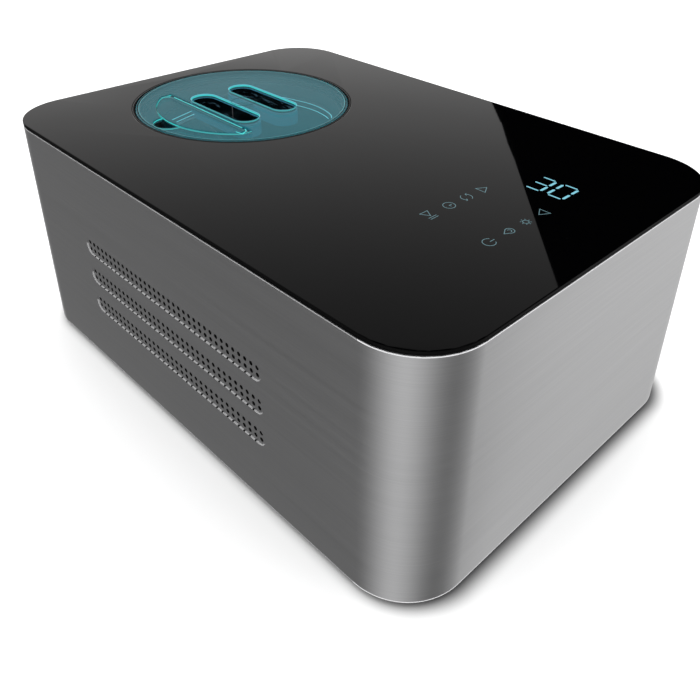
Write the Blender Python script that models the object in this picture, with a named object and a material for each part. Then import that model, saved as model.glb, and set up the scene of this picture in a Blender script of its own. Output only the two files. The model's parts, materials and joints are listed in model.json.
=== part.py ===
"""A countertop ice cream maker with its own compressor, as an assembly of separate pieces.

Metres, +Z up. The origin is on the floor under the middle of the housing. +X runs along the long
side, from the bowl to the control panel, and the vented front faces -Y.
"""

import math

import bmesh
import bpy
from mathutils import Matrix, Vector

# Housing
LENGTH = 0.410
WIDTH = 0.286
HEIGHT = 0.170
CORNER_RADIUS = 0.040
SHEET = 0.0012
GAP = 0.0003
FOOT_HEIGHT = 0.0040
STEEL_TOP = 0.1668
GLASS_UNDERSIDE = 0.1681
FRAME_TOP = GLASS_UNDERSIDE - GAP
FRAME_PLATE_UNDERSIDE = 0.1650
FRAME_SKIRT_BOTTOM = 0.1560
FRAME_WALL = 0.0020
TRAY_FLOOR = 0.0025
TRAY_RIM_TOP = 0.0160
TRAY_TOP = FOOT_HEIGHT + TRAY_FLOOR
INNER_LENGTH = LENGTH - 2 * SHEET
INNER_WIDTH = WIDTH - 2 * SHEET
INNER_CORNER = CORNER_RADIUS - SHEET

# Vent strips, three on the front and three on the back
VENT_LENGTH = 0.1935
VENT_HEIGHT = 0.0125
VENT_CENTRE_X = -0.0042
VENT_LEVELS = (0.0555, 0.0790, 0.1025)
VENT_RECESS = 0.0006

# Everything round about the bowl shares this centre line
BOWL_X = -0.1075
LID_RADIUS = 0.0800
LID_TOP = 0.1698
LID_THICK = 0.0030
LID_UNDERSIDE = LID_TOP - LID_THICK
SEAT_OUTER = 0.0822
SEAT_INNER = 0.0806
SEAT_LEDGE_INNER = 0.0750
SEAT_LEDGE_TOP = 0.1645
SEAT_BOTTOM = 0.1616
WELL_INNER = 0.0735
WELL_OUTER = 0.0750
WELL_FLANGE_RADIUS = 0.0840
WELL_FLANGE_BOTTOM = 0.1598
WELL_FLOOR = 0.0660
COIL_TUBE = 0.0026
COIL_RADIUS = 0.0787
COIL_TURNS = 4
JACKET_INNER = 0.0820
JACKET_OUTER = 0.0930
JACKET_BOTTOM = 0.0530
BOWL_OUTER = 0.0707
BOWL_WALL = 0.0012
BOWL_RIM_RADIUS = 0.0728
BOWL_TOP = 0.1500
BOWL_FLOOR = WELL_FLOOR + GAP
HUB_OUTER = 0.0085
HUB_BORE = 0.0065
HUB_TOP = 0.0900

# Lid openings, measured from the bowl's centre line
GRIP_LENGTH = 0.0720
GRIP_WIDTH = 0.0200
GRIP_OFFSET = 0.0176
GRIP_COLLAR = 0.0012
GRIP_COLLAR_BOTTOM = 0.1570
FILLER_HINGE_Y = -0.0335
FILLER_EDGE_Y = -0.0315
FILLER_RADIUS = 0.0650
FILLER_SIDE = 0.0515
FLAP_CORNER = 0.0050
FLAP_CLEARANCE = 0.0005
BARREL_HALF = 0.0435
FILLER_LEDGE = 0.0016
CHUTE_BOTTOM = 0.1590
CHUTE_WALL = 0.0012
NOTCH_RADIUS = 0.0115
HINGE_Z = LID_TOP - 0.0017
BARREL_RADIUS = 0.0017
HINGE_BORE = 0.0009
HINGE_PIN = 0.0006
BOSS_OUTER = 0.0085
BOSS_BORE = 0.0052
BOSS_BOTTOM = 0.1520

# Bail handle
BAIL_Z = 0.1525
BAIL_RADIUS = 0.0690
BAIL_WIRE = 0.0015
EAR_INNER = 0.0712
EAR_OUTER = 0.0724
EAR_HALF = 0.0042
EAR_TOP = 0.1562
EAR_HOLE = 0.0019

# Paddle and drive
PADDLE_BOTTOM = 0.0708
PADDLE_HUB = 0.0120
PADDLE_HUB_TOP = 0.1150
PADDLE_STEM = 0.0055
PADDLE_PIN = 0.0045
PADDLE_STEM_TOP = 0.1505
PADDLE_PIN_TOP = 0.1610
PADDLE_REACH = 0.0655
PADDLE_ARM_TOP = 0.1400
PADDLE_THICK = 0.0036
SOCKET_CORNER = 0.0051
HEX_CORNER = 0.0046
SHAFT_RADIUS = 0.0040
SHAFT_BOTTOM = 0.0140
HEX_BOTTOM = 0.0905
HEX_TOP = 0.1080
PLATE_BOTTOM = 0.0505
PLATE_TOP = 0.0525
MOTOR_X = 0.0120
PULLEY_RADIUS = 0.0440
MOTOR_PULLEY_RADIUS = 0.0085
PULLEY_FLANGE = 0.0030
PULLEY_BOTTOM = 0.0205
PULLEY_TOP = 0.0315
FLANGE_THICK = 0.0012
BELT_THICK = 0.0015
BELT_BOTTOM = 0.0222
BELT_TOP = 0.0298

# Cooling circuit
COMPRESSOR = Vector((0.1280, -0.0400))
COMPRESSOR_RADIUS = 0.0520
COMPRESSOR_BOTTOM = 0.0220
COMPRESSOR_TOP = 0.1360
CONDENSER_X = (0.0000, 0.0920)
CONDENSER_Y = (0.0800, 0.1060)
CONDENSER_Z = (0.0120, 0.1160)
FIN_COUNT = 8
FIN_THICK = 0.0010
CONDENSER_PASSES = 3
CONDENSER_TUBE = 0.0030
FAN_X = 0.0460
FAN_Z = 0.0640
FAN_SIZE = 0.0920
FAN_Y = (0.1070, 0.1320)
FAN_BORE = 0.0430
FAN_TIP = 0.0410
FAN_HUB = 0.0170
FAN_BLADES = 7

# Controls, from above
PANEL_X = (0.0980, 0.1760)
PANEL_Y = (-0.0560, 0.0780)
PANEL_Z = 0.1560
BOARD_THICK = 0.0016
DISPLAY_CENTRE = Vector((0.1410, 0.0440))
DISPLAY_SIZE = (0.0440, 0.0280)
GLAND = Vector((0.1500, 0.0300))

FEET = [(sx * 0.165, sy * 0.103) for sx in (-1, 1) for sy in (-1, 1)]

MATERIALS = {
    "brushed_steel": ((0.45, 0.45, 0.46), 0.32, 1.0),
    "black_glass": ((0.010, 0.010, 0.012), 0.04, 0.0),
    "black_plastic": ((0.015, 0.015, 0.016), 0.35, 0.0),
    "teal_plastic": ((0.10, 0.42, 0.46), 0.08, 0.0),
    "aluminium": ((0.72, 0.73, 0.74), 0.35, 1.0),
    "coated_bowl": ((0.035, 0.036, 0.040), 0.38, 0.4),
    "paddle_plastic": ((0.040, 0.042, 0.045), 0.35, 0.0),
    "silicone": ((0.10, 0.10, 0.11), 0.70, 0.0),
    "rubber": ((0.02, 0.02, 0.02), 0.85, 0.0),
    "zinc_steel": ((0.55, 0.56, 0.58), 0.40, 1.0),
    "compressor_paint": ((0.02, 0.02, 0.02), 0.45, 0.0),
    "copper": ((0.72, 0.34, 0.20), 0.30, 1.0),
    "foam": ((0.80, 0.70, 0.42), 0.95, 0.0),
    "circuit_board": ((0.02, 0.16, 0.07), 0.50, 0.0),
    "display": ((0.03, 0.05, 0.06), 0.30, 0.0),
    "bakelite": ((0.08, 0.08, 0.09), 0.50, 0.0),
}


# ---------------------------------------------------------------- outlines


def arc(centre, radius, start, end, steps):
    """Points on an arc, in degrees, both ends included."""
    points = []
    for k in range(steps + 1):
        angle = math.radians(start + (end - start) * k / steps)
        points.append((centre[0] + radius * math.cos(angle), centre[1] + radius * math.sin(angle)))
    return points


def circle(radius, count, centre=(0.0, 0.0), turn=0.0):
    return arc(centre, radius, turn, turn + 360 * (count - 1) / count, count - 1)


def rounded_rectangle(length, width, radius, steps, centre=(0.0, 0.0)):
    dx, dy = length / 2 - radius, width / 2 - radius
    points = []
    for sx, sy, start in ((1, 1, 0), (-1, 1, 90), (-1, -1, 180), (1, -1, 270)):
        corner = (centre[0] + sx * dx, centre[1] + sy * dy)
        points += arc(corner, radius, start, start + 90, steps)
    return points


def stadium(length, width, steps, centre=(0.0, 0.0)):
    half = (length - width) / 2
    right = arc((centre[0] + half, centre[1]), width / 2, -90, 90, steps)
    left = arc((centre[0] - half, centre[1]), width / 2, 90, 270, steps)
    return right + left


def filler_outline(inset, back, steps=14):
    """The filler opening in the lid: a round edge at the front, and square sides back to the hinge."""
    radius = FILLER_RADIUS - inset
    side = FILLER_SIDE - inset
    end = math.degrees(math.acos(side / radius))
    points = arc((BOWL_X, 0.0), radius, 180 + end, 360 - end, steps)
    return points + [(BOWL_X + side, back), (BOWL_X - side, back)]


def flap_outline(inset, steps=14):
    """The flap: the opening's round edge, with a small round corner at each end of the hinge."""
    radius, corner = FILLER_RADIUS - inset, FLAP_CORNER - inset
    centre_y = FILLER_HINGE_Y - FLAP_CORNER
    reach = FILLER_RADIUS - FLAP_CORNER
    centre_x = math.sqrt(reach**2 - centre_y**2)
    end = math.degrees(math.atan2(-centre_y, centre_x))
    points = arc((BOWL_X, 0.0), radius, 180 + end, 360 - end, steps)
    points += arc((BOWL_X + centre_x, centre_y), corner, -end, 90, 5)[1:]
    points += [(BOWL_X + centre_x, FILLER_HINGE_Y), (BOWL_X - centre_x, FILLER_HINGE_Y)]
    return points + arc((BOWL_X - centre_x, centre_y), corner, 90, 180 + end, 5)[:-1]


# ---------------------------------------------------------------- solids


def finished(bm):
    bm.normal_update()
    bmesh.ops.recalc_face_normals(bm, faces=bm.faces)
    return bm


def prism(outline, bottom, top):
    """An upright prism on a closed outline."""
    bm = bmesh.new()
    low = [bm.verts.new((x, y, bottom)) for x, y in outline]
    high = [bm.verts.new((x, y, top)) for x, y in outline]
    bm.faces.new(low[::-1])
    bm.faces.new(high)
    for k in range(len(outline)):
        n = (k + 1) % len(outline)
        bm.faces.new((low[k], low[n], high[n], high[k]))
    return finished(bm)


def frame_prism(outer, inner, bottom, top):
    """An upright prism with a hole. Both outlines have the same number of points."""
    bm = bmesh.new()
    loops = []
    for outline in (outer, inner):
        for z in (bottom, top):
            loops.append([bm.verts.new((x, y, z)) for x, y in outline])
    outer_low, outer_high, inner_low, inner_high = loops
    for k in range(len(outer)):
        n = (k + 1) % len(outer)
        bm.faces.new((outer_low[k], outer_low[n], outer_high[n], outer_high[k]))
        bm.faces.new((inner_low[n], inner_low[k], inner_high[k], inner_high[n]))
        bm.faces.new((outer_high[k], outer_high[n], inner_high[n], inner_high[k]))
        bm.faces.new((outer_low[n], outer_low[k], inner_low[k], inner_low[n]))
    return finished(bm)


def turned(profile, segments, centre=(0.0, 0.0)):
    """A solid turned about an upright axis from (radius, height) points.

    A profile that starts and ends on the axis is closed by it; any other is joined end to end.
    """
    bm = bmesh.new()
    rings = []
    for radius, z in profile:
        if radius == 0:
            rings.append([bm.verts.new((centre[0], centre[1], z))])
        else:
            rings.append([bm.verts.new((x, y, z)) for x, y in circle(radius, segments, centre)])
    pairs = list(zip(rings, rings[1:]))
    if len(rings[0]) > 1:
        pairs.append((rings[-1], rings[0]))
    for first, second in pairs:
        for k in range(segments):
            n = (k + 1) % segments
            corners = [first[k % len(first)], first[n % len(first)]]
            corners += [second[n % len(second)], second[k % len(second)]]
            bm.faces.new(list(dict.fromkeys(corners)))
    return finished(bm)


def ring(inner, outer, bottom, top, segments, centre=(0.0, 0.0)):
    profile = [(inner, bottom), (outer, bottom), (outer, top), (inner, top)]
    return turned(profile, segments, centre)


def block(x, y, z):
    """A box from its low and high values on each axis."""
    return prism([(x[0], y[0]), (x[1], y[0]), (x[1], y[1]), (x[0], y[1])], z[0], z[1])


def turned_to(bm, axis, centre):
    """Turns a solid built about +Z so that it lies along X or Y, then moves it to centre."""
    for vertex in bm.verts:
        x, y, z = vertex.co
        vertex.co = (z, x, y) if axis == "X" else (y, z, x)
        vertex.co += Vector(centre)
    return finished(bm)


def rod(radius, start, end, segments, axis, centre):
    """A cylinder along X or Y; start and end are its places on that axis."""
    return turned_to(prism(circle(radius, segments), start, end), axis, centre)


def combined(base, tools, operation):
    """The base solid with each tool joined to it or cut from it, as a new solid."""
    helpers = []
    for solid in [base, *tools]:
        mesh = bpy.data.meshes.new("helper")
        solid.to_mesh(mesh)
        solid.free()
        helper = bpy.data.objects.new("helper", mesh)
        bpy.context.scene.collection.objects.link(helper)
        helpers.append(helper)
    for helper in helpers[1:]:
        modifier = helpers[0].modifiers.new(operation, "BOOLEAN")
        modifier.operation = operation
        modifier.object = helper
    graph = bpy.context.evaluated_depsgraph_get()
    result = bmesh.new()
    result.from_mesh(helpers[0].evaluated_get(graph).to_mesh())
    for helper in helpers:
        mesh = helper.data
        bpy.data.objects.remove(helper)
        bpy.data.meshes.remove(mesh)
    return result


def joined(base, *tools):
    return combined(base, tools, "UNION")


def cut(base, *tools):
    return combined(base, tools, "DIFFERENCE")


# ---------------------------------------------------------------- placing


def clear_scene():
    for thing in list(bpy.data.objects):
        bpy.data.objects.remove(thing)


def material(name):
    found = bpy.data.materials.get(name)
    if found:
        return found
    colour, roughness, metallic = MATERIALS[name]
    made = bpy.data.materials.new(name)
    made.use_nodes = True
    shader = made.node_tree.nodes["Principled BSDF"]
    shader.inputs["Base Color"].default_value = (*colour, 1.0)
    shader.inputs["Roughness"].default_value = roughness
    shader.inputs["Metallic"].default_value = metallic
    return made


def body(name, place):
    """An empty on a moving body's joint axis, which its pieces are parented to."""
    empty = bpy.data.objects.new(name, None)
    empty.location = place
    bpy.context.scene.collection.objects.link(empty)
    return empty


def attach(thing, parent):
    if parent is not None:
        thing.parent = parent
        thing.location = -parent.location


def place(name, bm, finish, parent=None):
    mesh = bpy.data.meshes.new(name)
    bm.to_mesh(mesh)
    bm.free()
    mesh.materials.append(material(finish))
    mesh.shade_smooth()
    mesh.set_sharp_from_angle(angle=math.radians(30))
    thing = bpy.data.objects.new(name, mesh)
    bpy.context.scene.collection.objects.link(thing)
    attach(thing, parent)
    return thing


def pipe(name, points, radius, finish, parent=None, sides=1):
    """A round tube or wire along a list of points, with closed ends."""
    curve = bpy.data.curves.new(name, "CURVE")
    curve.dimensions = "3D"
    curve.bevel_depth = radius
    curve.bevel_resolution = sides
    curve.use_fill_caps = True
    spline = curve.splines.new("POLY")
    spline.points.add(len(points) - 1)
    for point, place_on_route in zip(spline.points, points):
        point.co = (*place_on_route, 1.0)
    curve.materials.append(material(finish))
    thing = bpy.data.objects.new(name, curve)
    bpy.context.scene.collection.objects.link(thing)
    attach(thing, parent)
    return thing


def bent_route(corners, bend, steps=4):
    """The route through the corners with each corner rounded to the bend radius."""
    corners = [Vector(corner) for corner in corners]
    route = [corners[0]]
    for before, corner, after in zip(corners, corners[1:], corners[2:]):
        into = (corner - before).normalized()
        out = (after - corner).normalized()
        half_turn = into.angle(out) / 2
        reach = bend * math.tan(half_turn)
        centre = corner + (out - into).normalized() * bend / math.cos(half_turn)
        first = corner - into * reach - centre
        for k in range(steps + 1):
            share = k / steps
            angle = 2 * half_turn * share
            route.append(centre + first * math.cos(angle) + into * bend * math.sin(angle))
    route.append(corners[-1])
    return route


# ---------------------------------------------------------------- housing


def steel_housing():
    outer = rounded_rectangle(LENGTH, WIDTH, CORNER_RADIUS, 8)
    inner = rounded_rectangle(INNER_LENGTH, INNER_WIDTH, INNER_CORNER, 8)
    shell = frame_prism(outer, inner, FOOT_HEIGHT, STEEL_TOP)
    cutters = []
    for side in (-1, 1):
        for level in VENT_LEVELS:
            strip = prism(stadium(VENT_LENGTH, VENT_HEIGHT, 5), -VENT_RECESS, VENT_RECESS)
            for vertex in strip.verts:
                x, y, z = vertex.co
                vertex.co = (VENT_CENTRE_X + x, side * WIDTH / 2 + z, level + y)
            cutters.append(finished(strip))
    hole = rod(0.0085, WIDTH / 2 - 0.005, WIDTH / 2 + 0.005, 16, "Y", (GLAND.x, 0, GLAND.y))
    place("steel_housing", cut(shell, *cutters, hole), "brushed_steel")


def base_tray():
    length, width = INNER_LENGTH - 2 * GAP, INNER_WIDTH - 2 * GAP
    corner = INNER_CORNER - GAP
    wall = FRAME_WALL
    outer = rounded_rectangle(length, width, corner, 8)
    inner = rounded_rectangle(length - 2 * wall, width - 2 * wall, corner - wall, 8)
    tray = joined(
        prism(outer, FOOT_HEIGHT, TRAY_TOP),
        frame_prism(outer, inner, TRAY_TOP - 0.001, TRAY_RIM_TOP),
    )
    cutters = []
    for k in range(6):
        slot = stadium(0.060, 0.006, 4, (0.020, -0.0850 + 0.012 * k))
        cutters.append(prism(slot, 0.0, 0.020))
    for x, y in FEET:
        cutters.append(prism(circle(0.0022, 8, (x, y)), 0.0, 0.020))
    place("base_tray", cut(tray, *cutters), "black_plastic")


def feet():
    for number, centre in enumerate(FEET, 1):
        profile = [
            (0.0022, 0.0022),
            (0.0045, 0.0022),
            (0.0045, 0.0),
            (0.0100, 0.0),
            (0.0115, 0.0012),
            (0.0115, FOOT_HEIGHT - GAP),
            (0.0022, FOOT_HEIGHT - GAP),
        ]
        place(f"foot_{number}", turned(profile, 16, centre), "rubber")
        screw = [
            (0.0, 0.0006),
            (0.0036, 0.0006),
            (0.0036, 0.0019),
            (0.0016, 0.0019),
            (0.0016, 0.0110),
            (0.0, 0.0120),
        ]
        place(f"foot_screw_{number}", turned(screw, 10, centre), "zinc_steel")


def top_frame():
    plate = prism(
        rounded_rectangle(INNER_LENGTH - 2 * GAP, INNER_WIDTH - 2 * GAP, INNER_CORNER - GAP, 8),
        FRAME_PLATE_UNDERSIDE,
        FRAME_TOP - 0.0002,
    )
    lip = prism(rounded_rectangle(LENGTH, WIDTH, CORNER_RADIUS, 8), STEEL_TOP + GAP, FRAME_TOP)
    length, width = INNER_LENGTH - 2 * GAP, INNER_WIDTH - 2 * GAP
    wall = FRAME_WALL
    skirt = frame_prism(
        rounded_rectangle(length, width, INNER_CORNER - GAP, 8),
        rounded_rectangle(length - 2 * wall, width - 2 * wall, INNER_CORNER - GAP - wall, 8),
        FRAME_SKIRT_BOTTOM,
        FRAME_PLATE_UNDERSIDE + 0.001,
    )
    frame = joined(plate, lip, skirt)
    opening = prism(circle(SEAT_OUTER + GAP, 48, (BOWL_X, 0)), 0.14, 0.18)
    window = block(
        (DISPLAY_CENTRE.x - DISPLAY_SIZE[0] / 2, DISPLAY_CENTRE.x + DISPLAY_SIZE[0] / 2),
        (DISPLAY_CENTRE.y - DISPLAY_SIZE[1] / 2, DISPLAY_CENTRE.y + DISPLAY_SIZE[1] / 2),
        (0.14, 0.18),
    )
    place("top_frame", cut(frame, opening, window), "black_plastic")


def glass_top():
    plate = prism(rounded_rectangle(LENGTH, WIDTH, CORNER_RADIUS, 8), GLASS_UNDERSIDE, HEIGHT)
    opening = prism(circle(SEAT_OUTER + GAP, 48, (BOWL_X, 0)), 0.16, 0.18)
    place("glass_top", cut(plate, opening), "black_glass")


def lid_seat():
    profile = [
        (SEAT_LEDGE_INNER, SEAT_BOTTOM),
        (SEAT_OUTER, SEAT_BOTTOM),
        (SEAT_OUTER, LID_TOP),
        (SEAT_INNER, LID_TOP),
        (SEAT_INNER, SEAT_LEDGE_TOP),
        (SEAT_LEDGE_INNER, SEAT_LEDGE_TOP),
    ]
    place("lid_seat_ring", turned(profile, 48, (BOWL_X, 0)), "black_plastic")


def cord_gland():
    """A flanged bush set in the back wall, its outer face just under the wall's."""
    outside = WIDTH / 2 - 0.0002
    bush = [
        (0.0035, outside - 0.012),
        (0.0100, outside - 0.012),
        (0.0100, outside - SHEET - GAP),
        (0.0080, outside - SHEET - GAP),
        (0.0080, outside),
        (0.0035, outside),
    ]
    place("cord_gland", turned_to(turned(bush, 16), "Y", (GLAND.x, 0, GLAND.y)), "black_plastic")


# ---------------------------------------------------------------- cooling well


def cooling_well():
    profile = [
        (0.0108, WELL_FLOOR - 0.0015),
        (WELL_OUTER, WELL_FLOOR - 0.0015),
        (WELL_OUTER, WELL_FLANGE_BOTTOM),
        (WELL_FLANGE_RADIUS, WELL_FLANGE_BOTTOM),
        (WELL_FLANGE_RADIUS, WELL_FLANGE_BOTTOM + 0.0015),
        (WELL_INNER, WELL_FLANGE_BOTTOM + 0.0015),
        (WELL_INNER, WELL_FLOOR),
        (0.0108, WELL_FLOOR),
    ]
    place("cooling_well", turned(profile, 40, (BOWL_X, 0)), "aluminium")


def evaporator_coil():
    """The tube wound round the well, from the floor up."""
    per_turn = 24
    bottom, top = WELL_FLOOR + 0.006, WELL_FLANGE_BOTTOM - 0.010
    points = []
    for k in range(COIL_TURNS * per_turn + 1):
        angle = 2 * math.pi * k / per_turn
        z = bottom + (top - bottom) * k / (COIL_TURNS * per_turn)
        x = BOWL_X + COIL_RADIUS * math.cos(angle)
        points.append((x, COIL_RADIUS * math.sin(angle), z))
    pipe("evaporator_coil", points, COIL_TUBE, "copper")


def insulation_jacket():
    floor_top = WELL_FLOOR - 0.0015 - GAP
    profile = [
        (0.0112, JACKET_BOTTOM),
        (JACKET_OUTER, JACKET_BOTTOM),
        (JACKET_OUTER, WELL_FLANGE_BOTTOM - GAP),
        (JACKET_INNER, WELL_FLANGE_BOTTOM - GAP),
        (JACKET_INNER, floor_top),
        (0.0112, floor_top),
    ]
    place("insulation_jacket", turned(profile, 32, (BOWL_X, 0)), "foam")


def bearing_and_seal():
    centre = (BOWL_X, 0)
    bore = SHAFT_RADIUS + GAP
    flange_top = PLATE_BOTTOM - GAP
    profile = [
        (bore, flange_top - 0.0030),
        (0.0160, flange_top - 0.0030),
        (0.0160, flange_top),
        (0.0100, flange_top),
        (0.0100, WELL_FLOOR - GAP),
        (bore, WELL_FLOOR - GAP),
    ]
    place("shaft_bearing", turned(profile, 20, centre), "bakelite")
    seal = ring(bore, HUB_BORE - GAP, WELL_FLOOR, 0.0720, 20, centre)
    place("shaft_seal", seal, "silicone")


# ---------------------------------------------------------------- drive


def motor_plate():
    outline = rounded_rectangle(0.205, 0.100, 0.012, 3, (-0.0620, 0))
    plate = prism(outline, PLATE_BOTTOM, PLATE_TOP)
    holes = [
        prism(circle(0.0103, 20, (BOWL_X, 0)), 0.04, 0.06),
        prism(circle(0.0070, 12, (MOTOR_X, 0)), 0.04, 0.06),
    ]
    place("motor_plate", cut(plate, *holes), "zinc_steel")
    for number, (x, y) in enumerate(plate_posts(), 1):
        post = prism(circle(0.0040, 8, (x, y)), TRAY_TOP + GAP, PLATE_BOTTOM - GAP)
        place(f"plate_post_{number}", post, "zinc_steel")


def plate_posts():
    return [(x, y) for x in (-0.1570, 0.0330) for y in (-0.0410, 0.0410)]


def gear_motor():
    centre = (MOTOR_X, 0)
    gearbox = [
        (0.0, 0.0620),
        (0.0033, 0.0620),
        (0.0033, PLATE_TOP + GAP),
        (0.0210, PLATE_TOP + GAP),
        (0.0225, PLATE_TOP + GAP + 0.0015),
        (0.0225, 0.0680),
        (0.0, 0.0680),
    ]
    place("motor_gearbox", turned(gearbox, 24, centre), "bakelite")


def motor_can():
    profile = [
        (0.0, 0.0683),
        (0.0180, 0.0683),
        (0.0180, 0.1060),
        (0.0165, 0.1080),
        (0.0060, 0.1080),
        (0.0060, 0.1110),
        (0.0, 0.1110),
    ]
    place("motor_can", turned(profile, 24, (MOTOR_X, 0)), "zinc_steel")


def pulley_profile(bore, radius):
    rim = radius + PULLEY_FLANGE
    return [
        (bore, PULLEY_BOTTOM),
        (rim, PULLEY_BOTTOM),
        (rim, PULLEY_BOTTOM + FLANGE_THICK),
        (radius, PULLEY_BOTTOM + FLANGE_THICK),
        (radius, PULLEY_TOP - FLANGE_THICK),
        (rim, PULLEY_TOP - FLANGE_THICK),
        (rim, PULLEY_TOP),
        (bore, PULLEY_TOP),
    ]


def drive_shaft(spinning):
    centre = (BOWL_X, 0)
    round_part = prism(circle(SHAFT_RADIUS, 12, centre), SHAFT_BOTTOM, HEX_BOTTOM + 0.002)
    head = prism(circle(HEX_CORNER, 6, centre), HEX_BOTTOM, HEX_TOP)
    place("drive_shaft", joined(round_part, head), "zinc_steel", spinning)
    profile = pulley_profile(SHAFT_RADIUS + GAP, PULLEY_RADIUS)
    place("drive_pulley", turned(profile, 36, centre), "paddle_plastic", spinning)
    clip = ring(SHAFT_RADIUS + GAP, 0.0075, PULLEY_BOTTOM - 0.0018, PULLEY_BOTTOM - GAP, 12, centre)
    place("shaft_clip", clip, "zinc_steel", spinning)


def motor_pulley(spinning):
    """The small pulley with the gearbox's output shaft, which it is moulded on."""
    rim = MOTOR_PULLEY_RADIUS + PULLEY_FLANGE
    shaft = 0.0030
    profile = [(0.0, PULLEY_BOTTOM)] + pulley_profile(0.0, MOTOR_PULLEY_RADIUS)[1:7]
    profile = profile[:-1] + [(rim, PULLEY_TOP), (shaft, PULLEY_TOP), (shaft, 0.0615), (0.0, 0.0615)]
    place("motor_pulley", turned(profile, 16, (MOTOR_X, 0)), "paddle_plastic", spinning)


def belt_outline(offset):
    """The loop round both pulleys, at a distance outside their grooves."""
    big, small = PULLEY_RADIUS + offset, MOTOR_PULLEY_RADIUS + offset
    lean = math.degrees(math.acos((big - small) / (MOTOR_X - BOWL_X)))
    far = arc((BOWL_X, 0), big, lean, 360 - lean, 28)
    near = arc((MOTOR_X, 0), small, -lean, lean, 10)
    return far + near


def drive_belt():
    inner = belt_outline(GAP)
    outer = belt_outline(GAP + BELT_THICK)
    place("drive_belt", frame_prism(outer, inner, BELT_BOTTOM, BELT_TOP), "rubber")


# ---------------------------------------------------------------- refrigeration


def compressor():
    centre = tuple(COMPRESSOR)
    radius = COMPRESSOR_RADIUS
    seam = 0.0700
    profile = [
        (0.0, COMPRESSOR_BOTTOM),
        (0.0380, COMPRESSOR_BOTTOM),
        (0.0480, 0.0300),
        (radius - 0.0015, 0.0400),
        (radius - 0.0015, seam),
        (radius, seam),
        (radius, seam + 0.0060),
        (radius - 0.0015, seam + 0.0060),
        (radius - 0.0020, 0.1080),
        (0.0450, 0.1230),
        (0.0300, 0.1320),
        (0.0, COMPRESSOR_TOP),
    ]
    place("compressor_can", turned(profile, 28, centre), "compressor_paint")
    plate = rounded_rectangle(0.124, 0.094, 0.010, 3, centre)
    plate = prism(plate, 0.0195, COMPRESSOR_BOTTOM - GAP)
    mounts = [(COMPRESSOR.x + sx * 0.053, COMPRESSOR.y + sy * 0.038) for sx in (-1, 1) for sy in (-1, 1)]
    holes = [prism(circle(0.0045, 8, spot), 0.01, 0.03) for spot in mounts]
    place("compressor_plate", cut(plate, *holes), "zinc_steel")
    for number, spot in enumerate(mounts, 1):
        grommet = [
            (0.0, TRAY_TOP + GAP),
            (0.0075, TRAY_TOP + GAP),
            (0.0085, 0.0190),
            (0.0040, 0.0190),
            (0.0040, 0.0235),
            (0.0, 0.0235),
        ]
        place(f"compressor_grommet_{number}", turned(grommet, 12, spot), "rubber")
    side = COMPRESSOR.y + radius + 0.0010
    cover = prism(
        rounded_rectangle(0.040, 0.018, 0.003, 2, (COMPRESSOR.x, side + 0.009)), 0.0420, 0.0760
    )
    place("compressor_terminal_cover", cover, "bakelite")


def condenser_levels():
    low, high = CONDENSER_Z
    pitch = (high - low) / CONDENSER_PASSES
    return [low + pitch * (k + 0.5) for k in range(CONDENSER_PASSES)]


def condenser():
    """A pack of fins between two channel plates, with one tube passing to and fro through it."""
    (x0, x1), (y0, y1), (z0, z1) = CONDENSER_X, CONDENSER_Y, CONDENSER_Z
    wall = 0.0012
    outer = block((x0, x1), (y0, y1), (z0, z1))
    pitch = (x1 - x0 - FIN_THICK) / (FIN_COUNT - 1)
    gaps = []
    for k in range(FIN_COUNT - 1):
        start = x0 + FIN_THICK + pitch * k
        gaps.append(
            block((start, start + pitch - FIN_THICK), (y0 - 0.01, y1 + 0.01), (z0 + wall, z1 - wall))
        )
    middle = (y0 + y1) / 2
    radius = CONDENSER_TUBE + GAP
    bores = [rod(radius, x0 - 0.01, x1 + 0.01, 8, "X", (0, middle, z)) for z in condenser_levels()]
    place("condenser_fins", cut(outer, *gaps, *bores), "aluminium")
    corners = []
    overhang = 0.0100
    for number, z in enumerate(condenser_levels()):
        ends = [x0 - overhang, x1 + overhang]
        if number % 2:
            ends.reverse()
        corners += [(x, middle, z) for x in ends]
    route = bent_route(corners, 0.0085, 3)
    pipe("condenser_tube", route, CONDENSER_TUBE, "copper", sides=1)


def fan_housing():
    (y0, y1), half = FAN_Y, FAN_SIZE / 2
    outline = rounded_rectangle(FAN_SIZE, FAN_SIZE, 0.006, 3)
    shell = prism(outline, y0, y1)
    bore = prism(circle(FAN_BORE, 32), y0 - 0.01, y1 + 0.01)
    shell = cut(shell, bore)
    spokes = []
    for angle in (0, 60, 120):
        spoke = block((-half + 0.002, half - 0.002), (-0.002, 0.002), (y1 - 0.004, y1 - 0.001))
        turn_about_z(spoke, math.radians(angle))
        spokes.append(spoke)
    hub = prism(circle(FAN_HUB, 20), y1 - 0.004, y1 - 0.0005)
    frame = joined(shell, hub, *spokes)
    bound = prism(outline, y0 - 0.01, y1 + 0.01)
    frame = combined(frame, [bound], "INTERSECT")
    place("fan_housing", turned_to(frame, "Y", (FAN_X, 0, FAN_Z)), "black_plastic")


def turn_about_z(bm, angle):
    bmesh.ops.rotate(bm, verts=bm.verts, matrix=Matrix.Rotation(angle, 3, "Z"), cent=(0, 0, 0))


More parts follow.
